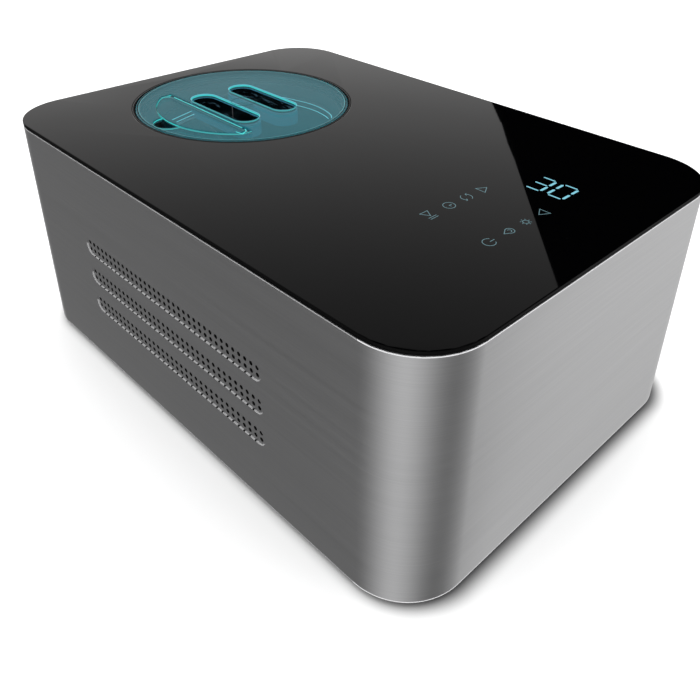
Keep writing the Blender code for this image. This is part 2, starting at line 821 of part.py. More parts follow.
def fan_impeller(spinning):
    y0, y1 = FAN_Y
    hub = prism(circle(FAN_HUB, 20), y0 + 0.002, y1 - 0.0045)
    blades = []
    for number in range(FAN_BLADES):
        blade = block((FAN_HUB - 0.002, FAN_TIP - 0.002), (-0.0008, 0.0008), (-0.009, 0.009))
        for vertex in blade.verts:
            share = (vertex.co.x - FAN_HUB) / (FAN_TIP - FAN_HUB)
            lean = math.radians(55 - 20 * share)
            x, across, along = vertex.co
            vertex.co.y = across * math.cos(lean) + along * math.sin(lean)
            vertex.co.z = along * math.cos(lean) - across * math.sin(lean) + (y0 + y1) / 2 - 0.0015
        turn_about_z(blade, 2 * math.pi * number / FAN_BLADES)
        blades.append(finished(blade))
    wheel = turned_to(joined(hub, *blades), "Y", (FAN_X, 0, FAN_Z))
    place("fan_impeller", wheel, "paddle_plastic", spinning)


def refrigerant_pipes():
    levels = condenser_levels()
    middle = sum(CONDENSER_Y) / 2
    x, y = COMPRESSOR
    edge = COMPRESSOR_RADIUS + 0.0010
    entry = CONDENSER_X[1] + 0.0100 + GAP
    discharge = [
        (x + edge * math.sin(0.5), y + edge * math.cos(0.5), 0.0900),
        (x + 0.0450, y + 0.0750, 0.0900),
        (x + 0.0450, y + 0.0750, 0.1250),
        (x + 0.0450, middle, 0.1250),
        (entry + 0.0100, middle, 0.1250),
        (entry + 0.0100, middle, levels[-1]),
        (entry, middle, levels[-1]),
    ]
    pipe("discharge_pipe", bent_route(discharge, 0.0060), 0.0025, "copper")
    liquid = [(CONDENSER_X[0] - 0.0100 - GAP, middle, levels[0]), (-0.0350, middle, levels[0])]
    pipe("liquid_pipe", liquid, 0.0025, "copper")
    drier = [
        (0.0, -0.0830),
        (0.0028, -0.0830),
        (0.0090, -0.0760),
        (0.0090, -0.0423),
        (0.0028, -0.0353),
        (0.0, -0.0353),
    ]
    place("filter_drier", turned_to(turned(drier, 16), "X", (0, middle, levels[0])), "copper")
    suction = [
        (BOWL_X + JACKET_OUTER + 0.0010, -0.0300, 0.1450),
        (0.0600, -0.0300, 0.1450),
        (0.0600, -0.0300, 0.0850),
        (x - edge, -0.0300, 0.0850),
    ]
    pipe("suction_pipe", bent_route(suction, 0.006), 0.0030, "copper")


# ---------------------------------------------------------------- electronics


def boards():
    panel = block(PANEL_X, PANEL_Y, (PANEL_Z, PANEL_Z + BOARD_THICK))
    place("control_board", panel, "circuit_board")
    top = PANEL_Z + BOARD_THICK + GAP
    half_x, half_y = (size / 2 - 0.0010 for size in DISPLAY_SIZE)
    module = block(
        (DISPLAY_CENTRE.x - half_x, DISPLAY_CENTRE.x + half_x),
        (DISPLAY_CENTRE.y - half_y, DISPLAY_CENTRE.y + half_y),
        (top, FRAME_TOP - 0.0003),
    )
    place("display_module", module, "display")
    power = block((0.1120, 0.1880), (0.0560, 0.1060), (0.0150, 0.0150 + BOARD_THICK))
    place("power_board", power, "circuit_board")
    base = 0.0150 + BOARD_THICK + GAP
    transformer = prism(rounded_rectangle(0.030, 0.026, 0.002, 1, (0.1700, 0.0850)), base, base + 0.026)
    place("transformer", transformer, "display")
    capacitor = turned(
        [(0.0, base), (0.0090, base), (0.0090, base + 0.028), (0.0, base + 0.028)], 16, (0.1280, 0.0900)
    )
    place("run_capacitor", capacitor, "bakelite")
    for number, (px, py) in enumerate([(0.1160, 0.0600), (0.1840, 0.1020)], 1):
        post = prism(circle(0.0030, 8, (px, py)), TRAY_TOP + GAP, 0.0150 - GAP)
        place(f"board_post_{number}", post, "black_plastic")


# ---------------------------------------------------------------- bowl and paddle


def bowl(lifting):
    inner = BOWL_OUTER - BOWL_WALL
    floor_top = BOWL_FLOOR + 0.0015
    profile = [
        (HUB_BORE, BOWL_FLOOR),
        (BOWL_OUTER - 0.0060, BOWL_FLOOR),
        (BOWL_OUTER, BOWL_FLOOR + 0.0060),
        (BOWL_OUTER, BOWL_TOP - 0.0030),
        (BOWL_RIM_RADIUS, BOWL_TOP - 0.0030),
        (BOWL_RIM_RADIUS, BOWL_TOP),
        (inner, BOWL_TOP),
        (inner, floor_top + 0.0060),
        (inner - 0.0060, floor_top),
        (HUB_OUTER, floor_top),
        (HUB_OUTER, HUB_TOP),
        (HUB_BORE, HUB_TOP),
    ]
    cup = turned(profile, 40, (BOWL_X, 0))
    ears = []
    holes = []
    for side in (-1, 1):
        x = sorted((BOWL_X + side * EAR_INNER, BOWL_X + side * EAR_OUTER))
        ears.append(block(x, (-EAR_HALF, EAR_HALF), (BOWL_TOP - 0.0020, EAR_TOP)))
        holes.append(rod(EAR_HOLE, x[0] - 0.002, x[1] + 0.002, 8, "X", (0, 0, BAIL_Z)))
    place("bowl", cut(joined(cup, *ears), *holes), "coated_bowl", lifting)


def bail_handle(swinging):
    points = [(BOWL_X + EAR_OUTER, 0, BAIL_Z)]
    arc_points = arc((BOWL_X, 0), BAIL_RADIUS, 0, 180, 20)
    points += [(x, y, BAIL_Z) for x, y in arc_points]
    points.append((BOWL_X - EAR_OUTER, 0, BAIL_Z))
    pipe("bail_handle", points, BAIL_WIRE, "zinc_steel", swinging)


def paddle(spinning):
    centre = (BOWL_X, 0)
    outside = [
        (0.0, PADDLE_BOTTOM),
        (PADDLE_HUB, PADDLE_BOTTOM),
        (PADDLE_HUB, PADDLE_HUB_TOP - 0.0150),
        (PADDLE_STEM + 0.0010, PADDLE_HUB_TOP),
        (PADDLE_STEM, PADDLE_STEM_TOP),
        (PADDLE_PIN, PADDLE_STEM_TOP),
        (PADDLE_PIN, PADDLE_PIN_TOP - 0.0010),
        (PADDLE_PIN - 0.0010, PADDLE_PIN_TOP),
        (0.0, PADDLE_PIN_TOP),
    ]
    body_solid = turned(outside, 20, centre)
    low = PADDLE_BOTTOM + 0.0006
    reach = PADDLE_REACH - 0.0015
    inner_edge = reach - 0.0080
    blades = []
    for turn in (0, 180):
        outline = [(0.0030, low), (reach, low), (reach, PADDLE_ARM_TOP), (0.0030, 0.1190)]
        window = [(0.0100, low + 0.010), (inner_edge, low + 0.010), (inner_edge, 0.1260), (0.0100, 0.1080)]
        arm = frame_prism(outline, window, -PADDLE_THICK / 2, PADDLE_THICK / 2)
        for vertex in arm.verts:
            x, z, y = vertex.co
            vertex.co = (x, y, z)
        outer = arc((0, 0), PADDLE_REACH, -4, 44, 7)
        inner = arc((0, 0), PADDLE_REACH - 0.0036, 44, -4, 7)
        scraper = prism(outer + inner, PADDLE_BOTTOM + 0.0012, PADDLE_ARM_TOP + 0.0012)
        for blade in (arm, scraper):
            turn_about_z(blade, math.radians(turn))
            bmesh.ops.translate(blade, verts=blade.verts, vec=(BOWL_X, 0, 0))
            blades.append(finished(blade))
    whole = joined(body_solid, *blades)
    well = prism(circle(HUB_OUTER + 0.0007, 16, centre, 5), PADDLE_BOTTOM - 0.01, 0.0915)
    socket = prism(circle(SOCKET_CORNER, 6, centre), 0.0900, HEX_TOP + 0.0010)
    place("paddle", cut(whole, well, socket), "paddle_plastic", spinning)


# ---------------------------------------------------------------- lid


def lid(lifting):
    centre = (BOWL_X, 0)
    disc = prism(circle(LID_RADIUS, 56, centre), LID_UNDERSIDE, LID_TOP)
    collars = []
    slots = []
    for side in (-1, 1):
        spot = (BOWL_X, side * GRIP_OFFSET)
        outer = stadium(GRIP_LENGTH + 2 * GRIP_COLLAR, GRIP_WIDTH + 2 * GRIP_COLLAR, 8, spot)
        collars.append(prism(outer, GRIP_COLLAR_BOTTOM, LID_UNDERSIDE + 0.001))
        slots.append(prism(stadium(GRIP_LENGTH, GRIP_WIDTH, 8, spot), 0.14, 0.18))
    boss = prism(circle(BOSS_OUTER, 20, centre), BOSS_BOTTOM, LID_UNDERSIDE + 0.001)
    chute_edge = filler_outline(FILLER_LEDGE - CHUTE_WALL, FILLER_EDGE_Y + CHUTE_WALL)
    chute = prism(chute_edge, CHUTE_BOTTOM, LID_UNDERSIDE + 0.001)
    whole = joined(disc, *collars, boss, chute)
    opening = prism(filler_outline(0.0, FILLER_EDGE_Y), LID_UNDERSIDE + 0.0002, 0.18)
    inside = prism(filler_outline(FILLER_LEDGE, FILLER_EDGE_Y), 0.14, 0.18)
    notch = prism(circle(NOTCH_RADIUS, 20, (BOWL_X, -FILLER_RADIUS)), 0.14, 0.18)
    pin_bore = prism(circle(BOSS_BORE, 16, centre), 0.14, LID_UNDERSIDE + 0.0005)
    reach = FILLER_SIDE + 0.0020
    sockets = rod(HINGE_BORE, -reach, reach, 8, "X", (BOWL_X, FILLER_HINGE_Y, HINGE_Z))
    shape = cut(whole, *slots, opening, inside, notch, pin_bore, sockets)
    place("lid", shape, "teal_plastic", lifting)
    seal = ring(SEAT_LEDGE_INNER + 0.0006, 0.0795, SEAT_LEDGE_TOP + GAP, LID_UNDERSIDE - GAP, 40, centre)
    place("lid_seal", seal, "silicone", lifting)


def filler_flap(swinging):
    bottom = LID_UNDERSIDE + 0.0005
    plate = prism(flap_outline(FLAP_CLEARANCE), bottom, LID_TOP)
    axis_place = (BOWL_X, FILLER_HINGE_Y, HINGE_Z)
    barrel = rod(BARREL_RADIUS, -BARREL_HALF, BARREL_HALF, 12, "X", axis_place)
    rib = block((BOWL_X - 0.0030, BOWL_X + 0.0030), (-0.0600, -0.0390), (bottom - 0.0016, bottom + 0.0005))
    bore = rod(HINGE_BORE, -0.0600, 0.0600, 8, "X", axis_place)
    place("filler_flap", cut(joined(plate, barrel, rib), bore), "teal_plastic", swinging)


def hinge_pin(lifting):
    reach = FILLER_SIDE + 0.0015
    pin = rod(HINGE_PIN, -reach, reach, 8, "X", (BOWL_X, FILLER_HINGE_Y, HINGE_Z))
    place("flap_hinge_pin", pin, "zinc_steel", lifting)


def main():
    clear_scene()
    bowl_body = body("bowl_body", Vector((BOWL_X, 0, BOWL_TOP)))
    lid_body = body("lid_body", Vector((BOWL_X, 0, LID_TOP)))
    flap_body = body("flap_body", Vector((BOWL_X, FILLER_HINGE_Y, HINGE_Z)))
    bail_body = body("bail_body", Vector((BOWL_X, 0, BAIL_Z)))
    paddle_body = body("paddle_body", Vector((BOWL_X, 0, PADDLE_BOTTOM)))
    shaft_body = body("shaft_body", Vector((BOWL_X, 0, SHAFT_BOTTOM)))
    motor_body = body("motor_pulley_body", Vector((MOTOR_X, 0, PULLEY_BOTTOM)))
    fan_body = body("fan_body", Vector((FAN_X, FAN_Y[0], FAN_Z)))

    steel_housing()
    base_tray()
    feet()
    top_frame()
    glass_top()
    lid_seat()
    cord_gland()
    cooling_well()
    evaporator_coil()
    insulation_jacket()
    bearing_and_seal()
    motor_plate()
    gear_motor()
    motor_can()
    drive_shaft(shaft_body)
    motor_pulley(motor_body)
    drive_belt()
    compressor()
    condenser()
    fan_housing()
    fan_impeller(fan_body)
    refrigerant_pipes()
    boards()
    bowl(bowl_body)
    bail_handle(bail_body)
    paddle(paddle_body)
    lid(lid_body)
    filler_flap(flap_body)
    hinge_pin(lid_body)


main()
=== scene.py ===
"""The looks of a countertop ice cream maker: brushed steel case, black glass top and a clear tinted lid.

Everything is in metres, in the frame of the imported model, and rides on its bodies.
"""

import json
import math

import bmesh
import bpy
from mathutils import Matrix, Vector

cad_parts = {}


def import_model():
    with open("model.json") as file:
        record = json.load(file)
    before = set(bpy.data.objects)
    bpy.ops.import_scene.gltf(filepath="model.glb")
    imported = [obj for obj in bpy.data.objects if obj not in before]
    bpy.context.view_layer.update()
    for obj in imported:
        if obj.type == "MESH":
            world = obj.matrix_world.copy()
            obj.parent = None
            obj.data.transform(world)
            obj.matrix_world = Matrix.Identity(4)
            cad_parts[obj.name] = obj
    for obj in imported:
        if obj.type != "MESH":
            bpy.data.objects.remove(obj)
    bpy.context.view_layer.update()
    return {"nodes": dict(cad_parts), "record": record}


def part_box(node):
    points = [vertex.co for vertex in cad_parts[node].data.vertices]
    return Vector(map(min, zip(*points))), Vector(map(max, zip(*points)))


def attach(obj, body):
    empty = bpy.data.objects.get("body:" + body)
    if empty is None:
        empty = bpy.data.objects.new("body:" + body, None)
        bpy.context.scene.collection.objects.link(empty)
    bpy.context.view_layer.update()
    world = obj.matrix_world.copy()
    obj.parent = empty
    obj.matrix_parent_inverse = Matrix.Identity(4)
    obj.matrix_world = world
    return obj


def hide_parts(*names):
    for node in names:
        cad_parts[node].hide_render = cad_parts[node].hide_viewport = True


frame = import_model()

# ---------------------------------------------------------------- places taken from the frame

HOUSING_LOW, HOUSING_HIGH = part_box("steel_housing")
GLASS_LOW, GLASS_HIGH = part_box("glass_top")
SEAT_LOW, SEAT_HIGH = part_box("lid_seat_ring")
LID_LOW, LID_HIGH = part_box("lid")
BOWL_LOW, BOWL_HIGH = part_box("bowl")
PADDLE_LOW, PADDLE_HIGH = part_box("paddle")
WELL_LOW, WELL_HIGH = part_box("cooling_well")

LENGTH = HOUSING_HIGH[0] - HOUSING_LOW[0]
WIDTH = HOUSING_HIGH[1] - HOUSING_LOW[1]
TOP = GLASS_HIGH[2]
CORNER = 0.040
SHEET = 0.0012
BOWL_X = (BOWL_LOW[0] + BOWL_HIGH[0]) / 2
BOWL = (BOWL_X, 0.0)
LID_RADIUS = (LID_HIGH[0] - LID_LOW[0]) / 2
LID_TOP = LID_HIGH[2]
LID_UNDERSIDE = LID_TOP - 0.0030
SEAT_RADIUS = (SEAT_HIGH[0] - SEAT_LOW[0]) / 2

# Vent strips
VENT_LENGTH = 0.1935
VENT_HEIGHT = 0.0125
VENT_X = -0.0042
VENT_LEVELS = (0.0555, 0.0790, 0.1025)
VENT_DEPTH = 0.0008
VENT_LIP = 0.0006
HOLE_COUNT = 35
HOLE_PITCH = 0.00545
HOLE_ROWS = (0.0030, -0.0019)
HOLE_RADIUS = 0.0015
# Width of the dark segments painted on the lower lip as the shade of a third row of holes
LIP_GAP = 0.0015

# Height of the handle's pivots in the bowl's ears
EAR_PIVOT = 0.1525

# Lid
GRIP_LENGTH = 0.0720
GRIP_WIDTH = 0.0200
GRIP_OFFSET = 0.0176
HINGE_Y = -0.0335
HINGE_Z = LID_TOP - 0.0017
FILLER_BACK = -0.0315
FILLER_RADIUS = 0.0650
FILLER_SIDE = 0.0515
FLAP_CORNER = 0.0050
NOTCH_RADIUS = 0.0115
WALL_BOTTOM = 0.1570
# Plan of the thin upright rib on the front slot's back wall
RIB = ((-0.0043, -0.0080), (-0.0037, -0.0080), (-0.0037, -0.0077), (-0.0043, -0.0077))

# Glass marks
GLASS_FACE = TOP - 0.00005
GLASS_INLAY = (TOP - 0.00008, TOP - 0.00001)
LID_INLAY = (LID_TOP - 0.00008, LID_TOP + 0.00004)
ICON_COLUMNS = (0.1135, 0.1553)
ICON_ROWS = (-0.0370, -0.0195, -0.0038, 0.0122)
DIGIT_HEIGHT = 0.0200

# Where the case is looked at from, in metres, and which way that view is turned, in degrees
VIEWPOINT = Vector((0.35382, -0.32932, 0.36671))
VIEW_AZIMUTH = 44.81
VIEW_ELEVATION = 29.56
VIEW_ROLL = 1.126

# Brightness of the floor's glow by the side of the case that faces it, in degrees round the front corner
GLOW_STOPS = (
    (262, 0.160),
    (273, 0.160),
    (278, 0.225),
    (284, 0.385),
    (292, 0.68),
    (298, 0.90),
    (304, 0.98),
    (310, 0.86),
    (318, 0.59),
    (326, 0.31),
    (334, 0.175),
    (342, 0.23),
    (352, 0.49),
    (360, 0.78),
    (370, 0.90),
)
GLOW_SPAN = (262, 372)

# The wall of light that the glass mirrors: its brightness, from the height in metres
SKY_FADE = (("DIVIDE", 5.58), ("POWER", -1.3), ("MULTIPLY", 0.64))

FLOOR_REACH = 6.0
# The painted contact shadow is darkest at the first distance from the corner's centre and gone at the second
SHADOW_REACH = (CORNER - 0.007, CORNER + 0.012)
SHADOW_OFFSET = (0.002, 0.004, 0.0)


# ---------------------------------------------------------------- outlines


def arc(centre, radius, start, end, steps):
    """Points on an arc, in degrees, both ends included."""
    points = []
    for k in range(steps + 1):
        angle = math.radians(start + (end - start) * k / steps)
        points.append((centre[0] + radius * math.cos(angle), centre[1] + radius * math.sin(angle)))
    return points


def circle(radius, count, centre=(0.0, 0.0)):
    return arc(centre, radius, 0, 360 * (count - 1) / count, count - 1)


def rounded_rectangle(inset, steps=28):
    """The case's outline in plan, moved inwards."""
    dx, dy, radius = LENGTH / 2 - CORNER, WIDTH / 2 - CORNER, CORNER - inset
    points = []
    for sx, sy, start in ((1, 1, 0), (-1, 1, 90), (-1, -1, 180), (1, -1, 270)):
        points += arc((sx * dx, sy * dy), radius, start, start + 90, steps)
    return points


def stadium(length, width, inset, steps, centre=(0.0, 0.0)):
    half = (length - width) / 2
    radius = width / 2 - inset
    right = arc((centre[0] + half, centre[1]), radius, -90, 90, steps)
    left = arc((centre[0] - half, centre[1]), radius, 90, 270, steps)
    return right + left


def opening_outline(inset):
    """The filler opening, with the fingertip notch at the front, moved inwards."""
    radius, side = FILLER_RADIUS - inset, FILLER_SIDE - inset
    notch = NOTCH_RADIUS - inset
    end = math.degrees(math.acos(side / radius))
    # Where the notch's circle, centred on the opening's edge, meets the opening's arc
    spread = (FILLER_RADIUS**2 + radius**2 - notch**2) / (2 * FILLER_RADIUS * radius)
    spread = math.degrees(math.acos(spread))
    meet = (radius * math.sin(math.radians(spread)), -radius * math.cos(math.radians(spread)))
    lean = math.degrees(math.atan2(meet[1] + FILLER_RADIUS, meet[0]))
    points = arc(BOWL, radius, 180 + end, 270 - spread, 20)
    points += arc((BOWL_X, -FILLER_RADIUS), notch, 180 - lean, 360 + lean, 16)[1:-1]
    points += arc(BOWL, radius, 270 + spread, 360 - end, 20)
    back = FILLER_BACK - inset
    return points + [(BOWL_X + side, back), (BOWL_X - side, back)]


def flap_outline(inset):
    radius, corner = FILLER_RADIUS - inset, FLAP_CORNER - inset
    centre_y = HINGE_Y - FLAP_CORNER
    reach = FILLER_RADIUS - FLAP_CORNER
    centre_x = math.sqrt(reach**2 - centre_y**2)
    end = math.degrees(math.atan2(-centre_y, centre_x))
    points = arc(BOWL, radius, 180 + end, 360 - end, 48)
    points += arc((BOWL_X + centre_x, centre_y), corner, -end, 90, 10)[1:]
    return points + arc((BOWL_X - centre_x, centre_y), corner, 90, 180 + end, 10)[:-1]


# ---------------------------------------------------------------- mesh work


def add_loop(bm, outline, z):
    return [bm.verts.new((x, y, z)) for x, y in outline]


def bridge(bm, first, second, finish=0):
    """Quads between two closed loops with the same number of points."""
    for k in range(len(first)):
        n = (k + 1) % len(first)
        bm.faces.new((first[k], first[n], second[n], second[k])).material_index = finish


def fill(bm, loops, finish=0):
    """Fills the flat region between an outer loop and any loops inside it."""
    edges = []
    for loop in loops:
        for k in range(len(loop)):
            pair = (loop[k - 1], loop[k])
            edges.append(bm.edges.get(pair) or bm.edges.new(pair))
    made = bmesh.ops.triangle_fill(bm, edges=edges, use_beauty=True, use_dissolve=False)
    for face in made["geom"]:
        if isinstance(face, bmesh.types.BMFace):
            face.material_index = finish


def plate(outer, holes, levels, edge_finish=0):
    """A flat plate with rounded edges. levels lists (height, inset) from the underside to the top.

    outer and holes are functions of an inset. A hole grows where the outer edge moves inwards.
    """
    bm = bmesh.new()
    stacks = [[add_loop(bm, outer(inset), z) for z, inset in levels]]
    for hole in holes:
        stacks.append([add_loop(bm, hole(-inset), z) for z, inset in levels])
    for stack in stacks:
        for low, high in zip(stack, stack[1:]):
            bridge(bm, low, high, edge_finish)
    fill(bm, [stack[0] for stack in stacks])
    fill(bm, [stack[-1] for stack in stacks])
    return bm


def turned(profile, segments=128, centre=BOWL):
    """A solid turned about an upright axis from (radius, height) points.

    The profile closes on itself unless it starts and ends on the axis.
    """
    bm = bmesh.new()
    loops = []
    for radius, z in profile:
        if radius == 0:
            loops.append([bm.verts.new((centre[0], centre[1], z))])
        else:
            loops.append(add_loop(bm, circle(radius, segments, centre), z))
    pairs = list(zip(loops, loops[1:]))
    if profile[0][0]:
        pairs.append((loops[-1], loops[0]))
    for first, second in pairs:
        for k in range(segments):
            n = (k + 1) % segments
            corners = [first[k % len(first)], first[n % len(first)]]
            corners += [second[n % len(second)], second[k % len(second)]]
            bm.faces.new(list(dict.fromkeys(corners)))
    return bm


def softened(profile, radius, steps=3):
    """A turned profile with every corner rounded."""
    points = [Vector(point) for point in profile]
    soft = []
    for before, corner, after in zip(points[-1:] + points[:-1], points, points[1:] + points[:1]):
        into, out = (before - corner), (after - corner)
        cut = min(radius, into.length / 2.2, out.length / 2.2)
        start, end = corner + into.normalized() * cut, corner + out.normalized() * cut
        for k in range(steps + 1):
            t = k / steps
            soft.append(start * (1 - t) ** 2 + corner * 2 * t * (1 - t) + end * t**2)
    return [tuple(point) for point in soft]


def mesh_of(name, bm):
    mesh = bpy.data.meshes.new(name)
    bm.to_mesh(mesh)
    bm.free()
    return mesh


def square(name, reach, z):
    """A level square mesh round the origin."""
    mesh = bpy.data.meshes.new(name)
    corners = [(-reach, -reach, z), (reach, -reach, z), (reach, reach, z), (-reach, reach, z)]
    mesh.from_pydata(corners, [], [(0, 1, 2, 3)])
    return mesh


def put(name, data):
    thing = bpy.data.objects.new(name, data)
    bpy.context.scene.collection.objects.link(thing)
    return thing


def piece(name, bm, finishes, body, slot, *replaced, sharp=35):
    bm.normal_update()
    bmesh.ops.recalc_face_normals(bm, faces=bm.faces)
    mesh = mesh_of(name, bm)
    for finish in finishes:
        mesh.materials.append(finish)
    mesh.shade_smooth()
    mesh.set_sharp_from_angle(angle=math.radians(sharp))
    thing = put(name, mesh)
    weighted = thing.modifiers.new("weighted_normals", "WEIGHTED_NORMAL")
    weighted.keep_sharp = True
    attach(thing, body)
    if replaced:
        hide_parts(*replaced)
    return thing


# ---------------------------------------------------------------- node groups and materials


def new_group(name, inputs, outputs):
    group = bpy.data.node_groups.new(name, "ShaderNodeTree")
    for label, kind, value in inputs:
        socket = group.interface.new_socket(name=label, in_out="INPUT", socket_type=kind)
        socket.default_value = value
    for label, kind in outputs:
        group.interface.new_socket(name=label, in_out="OUTPUT", socket_type=kind)
    return group


def add(tree, kind, **values):
    node = tree.nodes.new(kind)
    for key, value in values.items():
        setattr(node, key, value)
    return node


def feed(node, **values):
    """Sets a node's inputs by name."""
    for key, value in values.items():
        node.inputs[key.replace("_", " ")].default_value = value


def ranged(tree, value, low, high, first=0.0, last=1.0, ease="LINEAR"):
    """Maps low to high onto first to last."""
    spread = add(tree, "ShaderNodeMapRange", interpolation_type=ease)
    feed(spread, From_Min=low, From_Max=high, To_Min=first, To_Max=last)
    tree.links.new(value, spread.inputs["Value"])
    return spread.outputs["Result"]


def mixed(tree, factor, first, second):
    """Runs from first to second with the factor. Each is a colour or another node's output."""
    mix = add(tree, "ShaderNodeMix", data_type="RGBA")
    tree.links.new(factor, mix.inputs[0])
    for socket, value in ((mix.inputs[6], first), (mix.inputs[7], second)):
        if isinstance(value, tuple):
            socket.default_value = (*value, 1.0)
        else:
            tree.links.new(value, socket)
    return mix.outputs[2]


def mottle_group():
    """Soft cloudy change of a value, with a fine grain on top."""
    group = new_group(
        "mottle",
        [
            ("Cloud Scale", "NodeSocketFloat", 20.0),
            ("Grain Scale", "NodeSocketFloat", 900.0),
            ("Low", "NodeSocketFloat", 0.3),
            ("High", "NodeSocketFloat", 0.4),
        ],
        [("Value", "NodeSocketFloat"), ("Grain", "NodeSocketFloat")],
    )
    entry, leave = add(group, "NodeGroupInput"), add(group, "NodeGroupOutput")
    place = add(group, "ShaderNodeTexCoord")
    cloud, grain = add(group, "ShaderNodeTexNoise"), add(group, "ShaderNodeTexNoise")
    spread = add(group, "ShaderNodeMapRange")
    blend = add(group, "ShaderNodeMath", operation="MULTIPLY_ADD")
    blend.inputs[1].default_value = 0.25
    link = group.links.new
    link(place.outputs["Object"], cloud.inputs["Vector"])
    link(place.outputs["Object"], grain.inputs["Vector"])
    link(entry.outputs["Cloud Scale"], cloud.inputs["Scale"])
    link(entry.outputs["Grain Scale"], grain.inputs["Scale"])
    link(grain.outputs["Fac"], blend.inputs[0])
    link(cloud.outputs["Fac"], blend.inputs[2])
    link(blend.outputs[0], spread.inputs["Value"])
    feed(spread, From_Min=0.3, From_Max=0.95)
    link(entry.outputs["Low"], spread.inputs["To Min"])
    link(entry.outputs["High"], spread.inputs["To Max"])
    link(spread.outputs["Result"], leave.inputs["Value"])
    link(grain.outputs["Fac"], leave.inputs["Grain"])
    return group


def brushing_group():
    """Fine level lines all round the case, as a belt grinder leaves them."""
    group = new_group(
        "brushing",
        [
            ("Lines per Metre", "NodeSocketFloat", 2600.0),
            ("Streak Length", "NodeSocketFloat", 14.0),
        ],
        [("Line", "NodeSocketFloat"), ("Band", "NodeSocketFloat")],
    )
    entry, leave = add(group, "NodeGroupInput"), add(group, "NodeGroupOutput")
    place = add(group, "ShaderNodeTexCoord")
    stretch = add(group, "ShaderNodeCombineXYZ")
    scaled = add(group, "ShaderNodeVectorMath", operation="MULTIPLY")
    fine, broad = add(group, "ShaderNodeTexNoise"), add(group, "ShaderNodeTexNoise")
    feed(fine, Scale=1.0, Detail=4.0, Roughness=0.7)
    feed(broad, Scale=0.12, Detail=2.0)
    link = group.links.new
    link(entry.outputs["Streak Length"], stretch.inputs["X"])
    link(entry.outputs["Streak Length"], stretch.inputs["Y"])
    link(entry.outputs["Lines per Metre"], stretch.inputs["Z"])
    link(place.outputs["Object"], scaled.inputs[0])
    link(stretch.outputs[0], scaled.inputs[1])
    link(scaled.outputs[0], fine.inputs["Vector"])
    link(scaled.outputs[0], broad.inputs["Vector"])
    link(fine.outputs["Fac"], leave.inputs["Line"])
    link(broad.outputs["Fac"], leave.inputs["Band"])
    return group


MOTTLE = mottle_group()
BRUSHING = brushing_group()


def new_material(name, metallic=0.0, roughness=0.4, **sockets):
    material = bpy.data.materials.new(name)
    material.use_nodes = True
    shader = material.node_tree.nodes["Principled BSDF"]
    feed(shader, Metallic=metallic, Roughness=roughness, **sockets)
    return material, material.node_tree, shader


def placed(tree, group, **values):
    node = add(tree, "ShaderNodeGroup", node_tree=group)
    feed(node, **values)
    return node


def tinted(tree, shader, factor, dark, light):
    """Base Color runs from dark to light with the factor."""
    tree.links.new(mixed(tree, factor, dark, light), shader.inputs["Base Color"])


def bumped(tree, shader, height, strength, distance):
    bump = add(tree, "ShaderNodeBump")
    feed(bump, Strength=strength, Distance=distance)
    tree.links.new(height, bump.inputs["Height"])
    tree.links.new(bump.outputs["Normal"], shader.inputs["Normal"])


def brushed_steel():
    material, tree, shader = new_material("brushed_steel", metallic=1.0)
    lines = placed(tree, BRUSHING, Lines_per_Metre=2400.0, Streak_Length=11.0)
    tinted(tree, shader, lines.outputs["Line"], (0.40, 0.40, 0.405), (0.56, 0.56, 0.565))
    rough = ranged(tree, lines.outputs["Band"], 0.0, 1.0, 0.26, 0.40)
    tree.links.new(rough, shader.inputs["Roughness"])
    bumped(tree, shader, lines.outputs["Line"], 0.25, 0.00002)
    return material


def cloudy(name, dark, light, low, high, grain=900.0, bump=0.15, depth=0.00003, cloud=25.0, **sockets):
    """A plain finish whose colour and gloss change softly over the surface."""
    material, tree, shader = new_material(name, **sockets)
    mottle = placed(tree, MOTTLE, Cloud_Scale=cloud, Grain_Scale=grain, Low=low, High=high)
    tinted(tree, shader, mottle.outputs["Grain"], dark, light)
    tree.links.new(mottle.outputs["Value"], shader.inputs["Roughness"])
    if bump:
        bumped(tree, shader, mottle.outputs["Grain"], bump, depth)
    return material


def streaked(name, dark, light):
    """A clear wall painted dark as shade, with a few level streaks of painted reflection in it."""
    material, tree, shader = new_material(name, roughness=0.15)
    lines = placed(tree, BRUSHING, Lines_per_Metre=420.0, Streak_Length=60.0)
    tinted(tree, shader, ranged(tree, lines.outputs["Line"], 0.56, 0.68), dark, light)
    return material


def glowing(name, colour, strength, dark, light):
    material = cloudy(name, dark, light, 0.10, 0.18, bump=0)
    shader = material.node_tree.nodes["Principled BSDF"]
    feed(shader, Emission_Color=(*colour, 1.0), Emission_Strength=strength)
    return material


STEEL = brushed_steel()
GLASS = cloudy(
    "black_glass", (0.0002, 0.0002, 0.0003), (0.0005, 0.0005, 0.0006), 0.01, 0.035,
    grain=300.0, bump=0, cloud=9.0, IOR=1.5,
)
GLASS_EDGE = cloudy(
    "inked_glass_edge", (0.0006, 0.0006, 0.0007), (0.0012, 0.0012, 0.0013), 0.45, 0.60,
    bump=0, Specular_IOR_Level=0.08,
)
# Painted highlights on steel: a paler one for the case's edges and the vents' lower lips, a brighter one
# along the control end
STEEL_HIGHLIGHT = cloudy(
    "painted_highlight_steel_edge", (0.34, 0.34, 0.345), (0.44, 0.44, 0.445), 0.40, 0.55, grain=2200.0, metallic=0.35
)
LIT_EDGE = cloudy("lit_steel_edge", (0.56, 0.56, 0.57), (0.66, 0.66, 0.67), 0.35, 0.50, grain=2200.0)
# Near black painted as the shade inside the vent holes and in the hole marks on the lip
HOLE_SHADE = cloudy(
    "painted_hole_shade", (0.004, 0.004, 0.004), (0.008, 0.008, 0.008), 0.6, 0.8, bump=0, Specular_IOR_Level=0.1
)
BLACK_PLASTIC = cloudy(
    "black_plastic", (0.0025, 0.0025, 0.003), (0.005, 0.005, 0.0055), 0.35, 0.50, Specular_IOR_Level=0.2
)
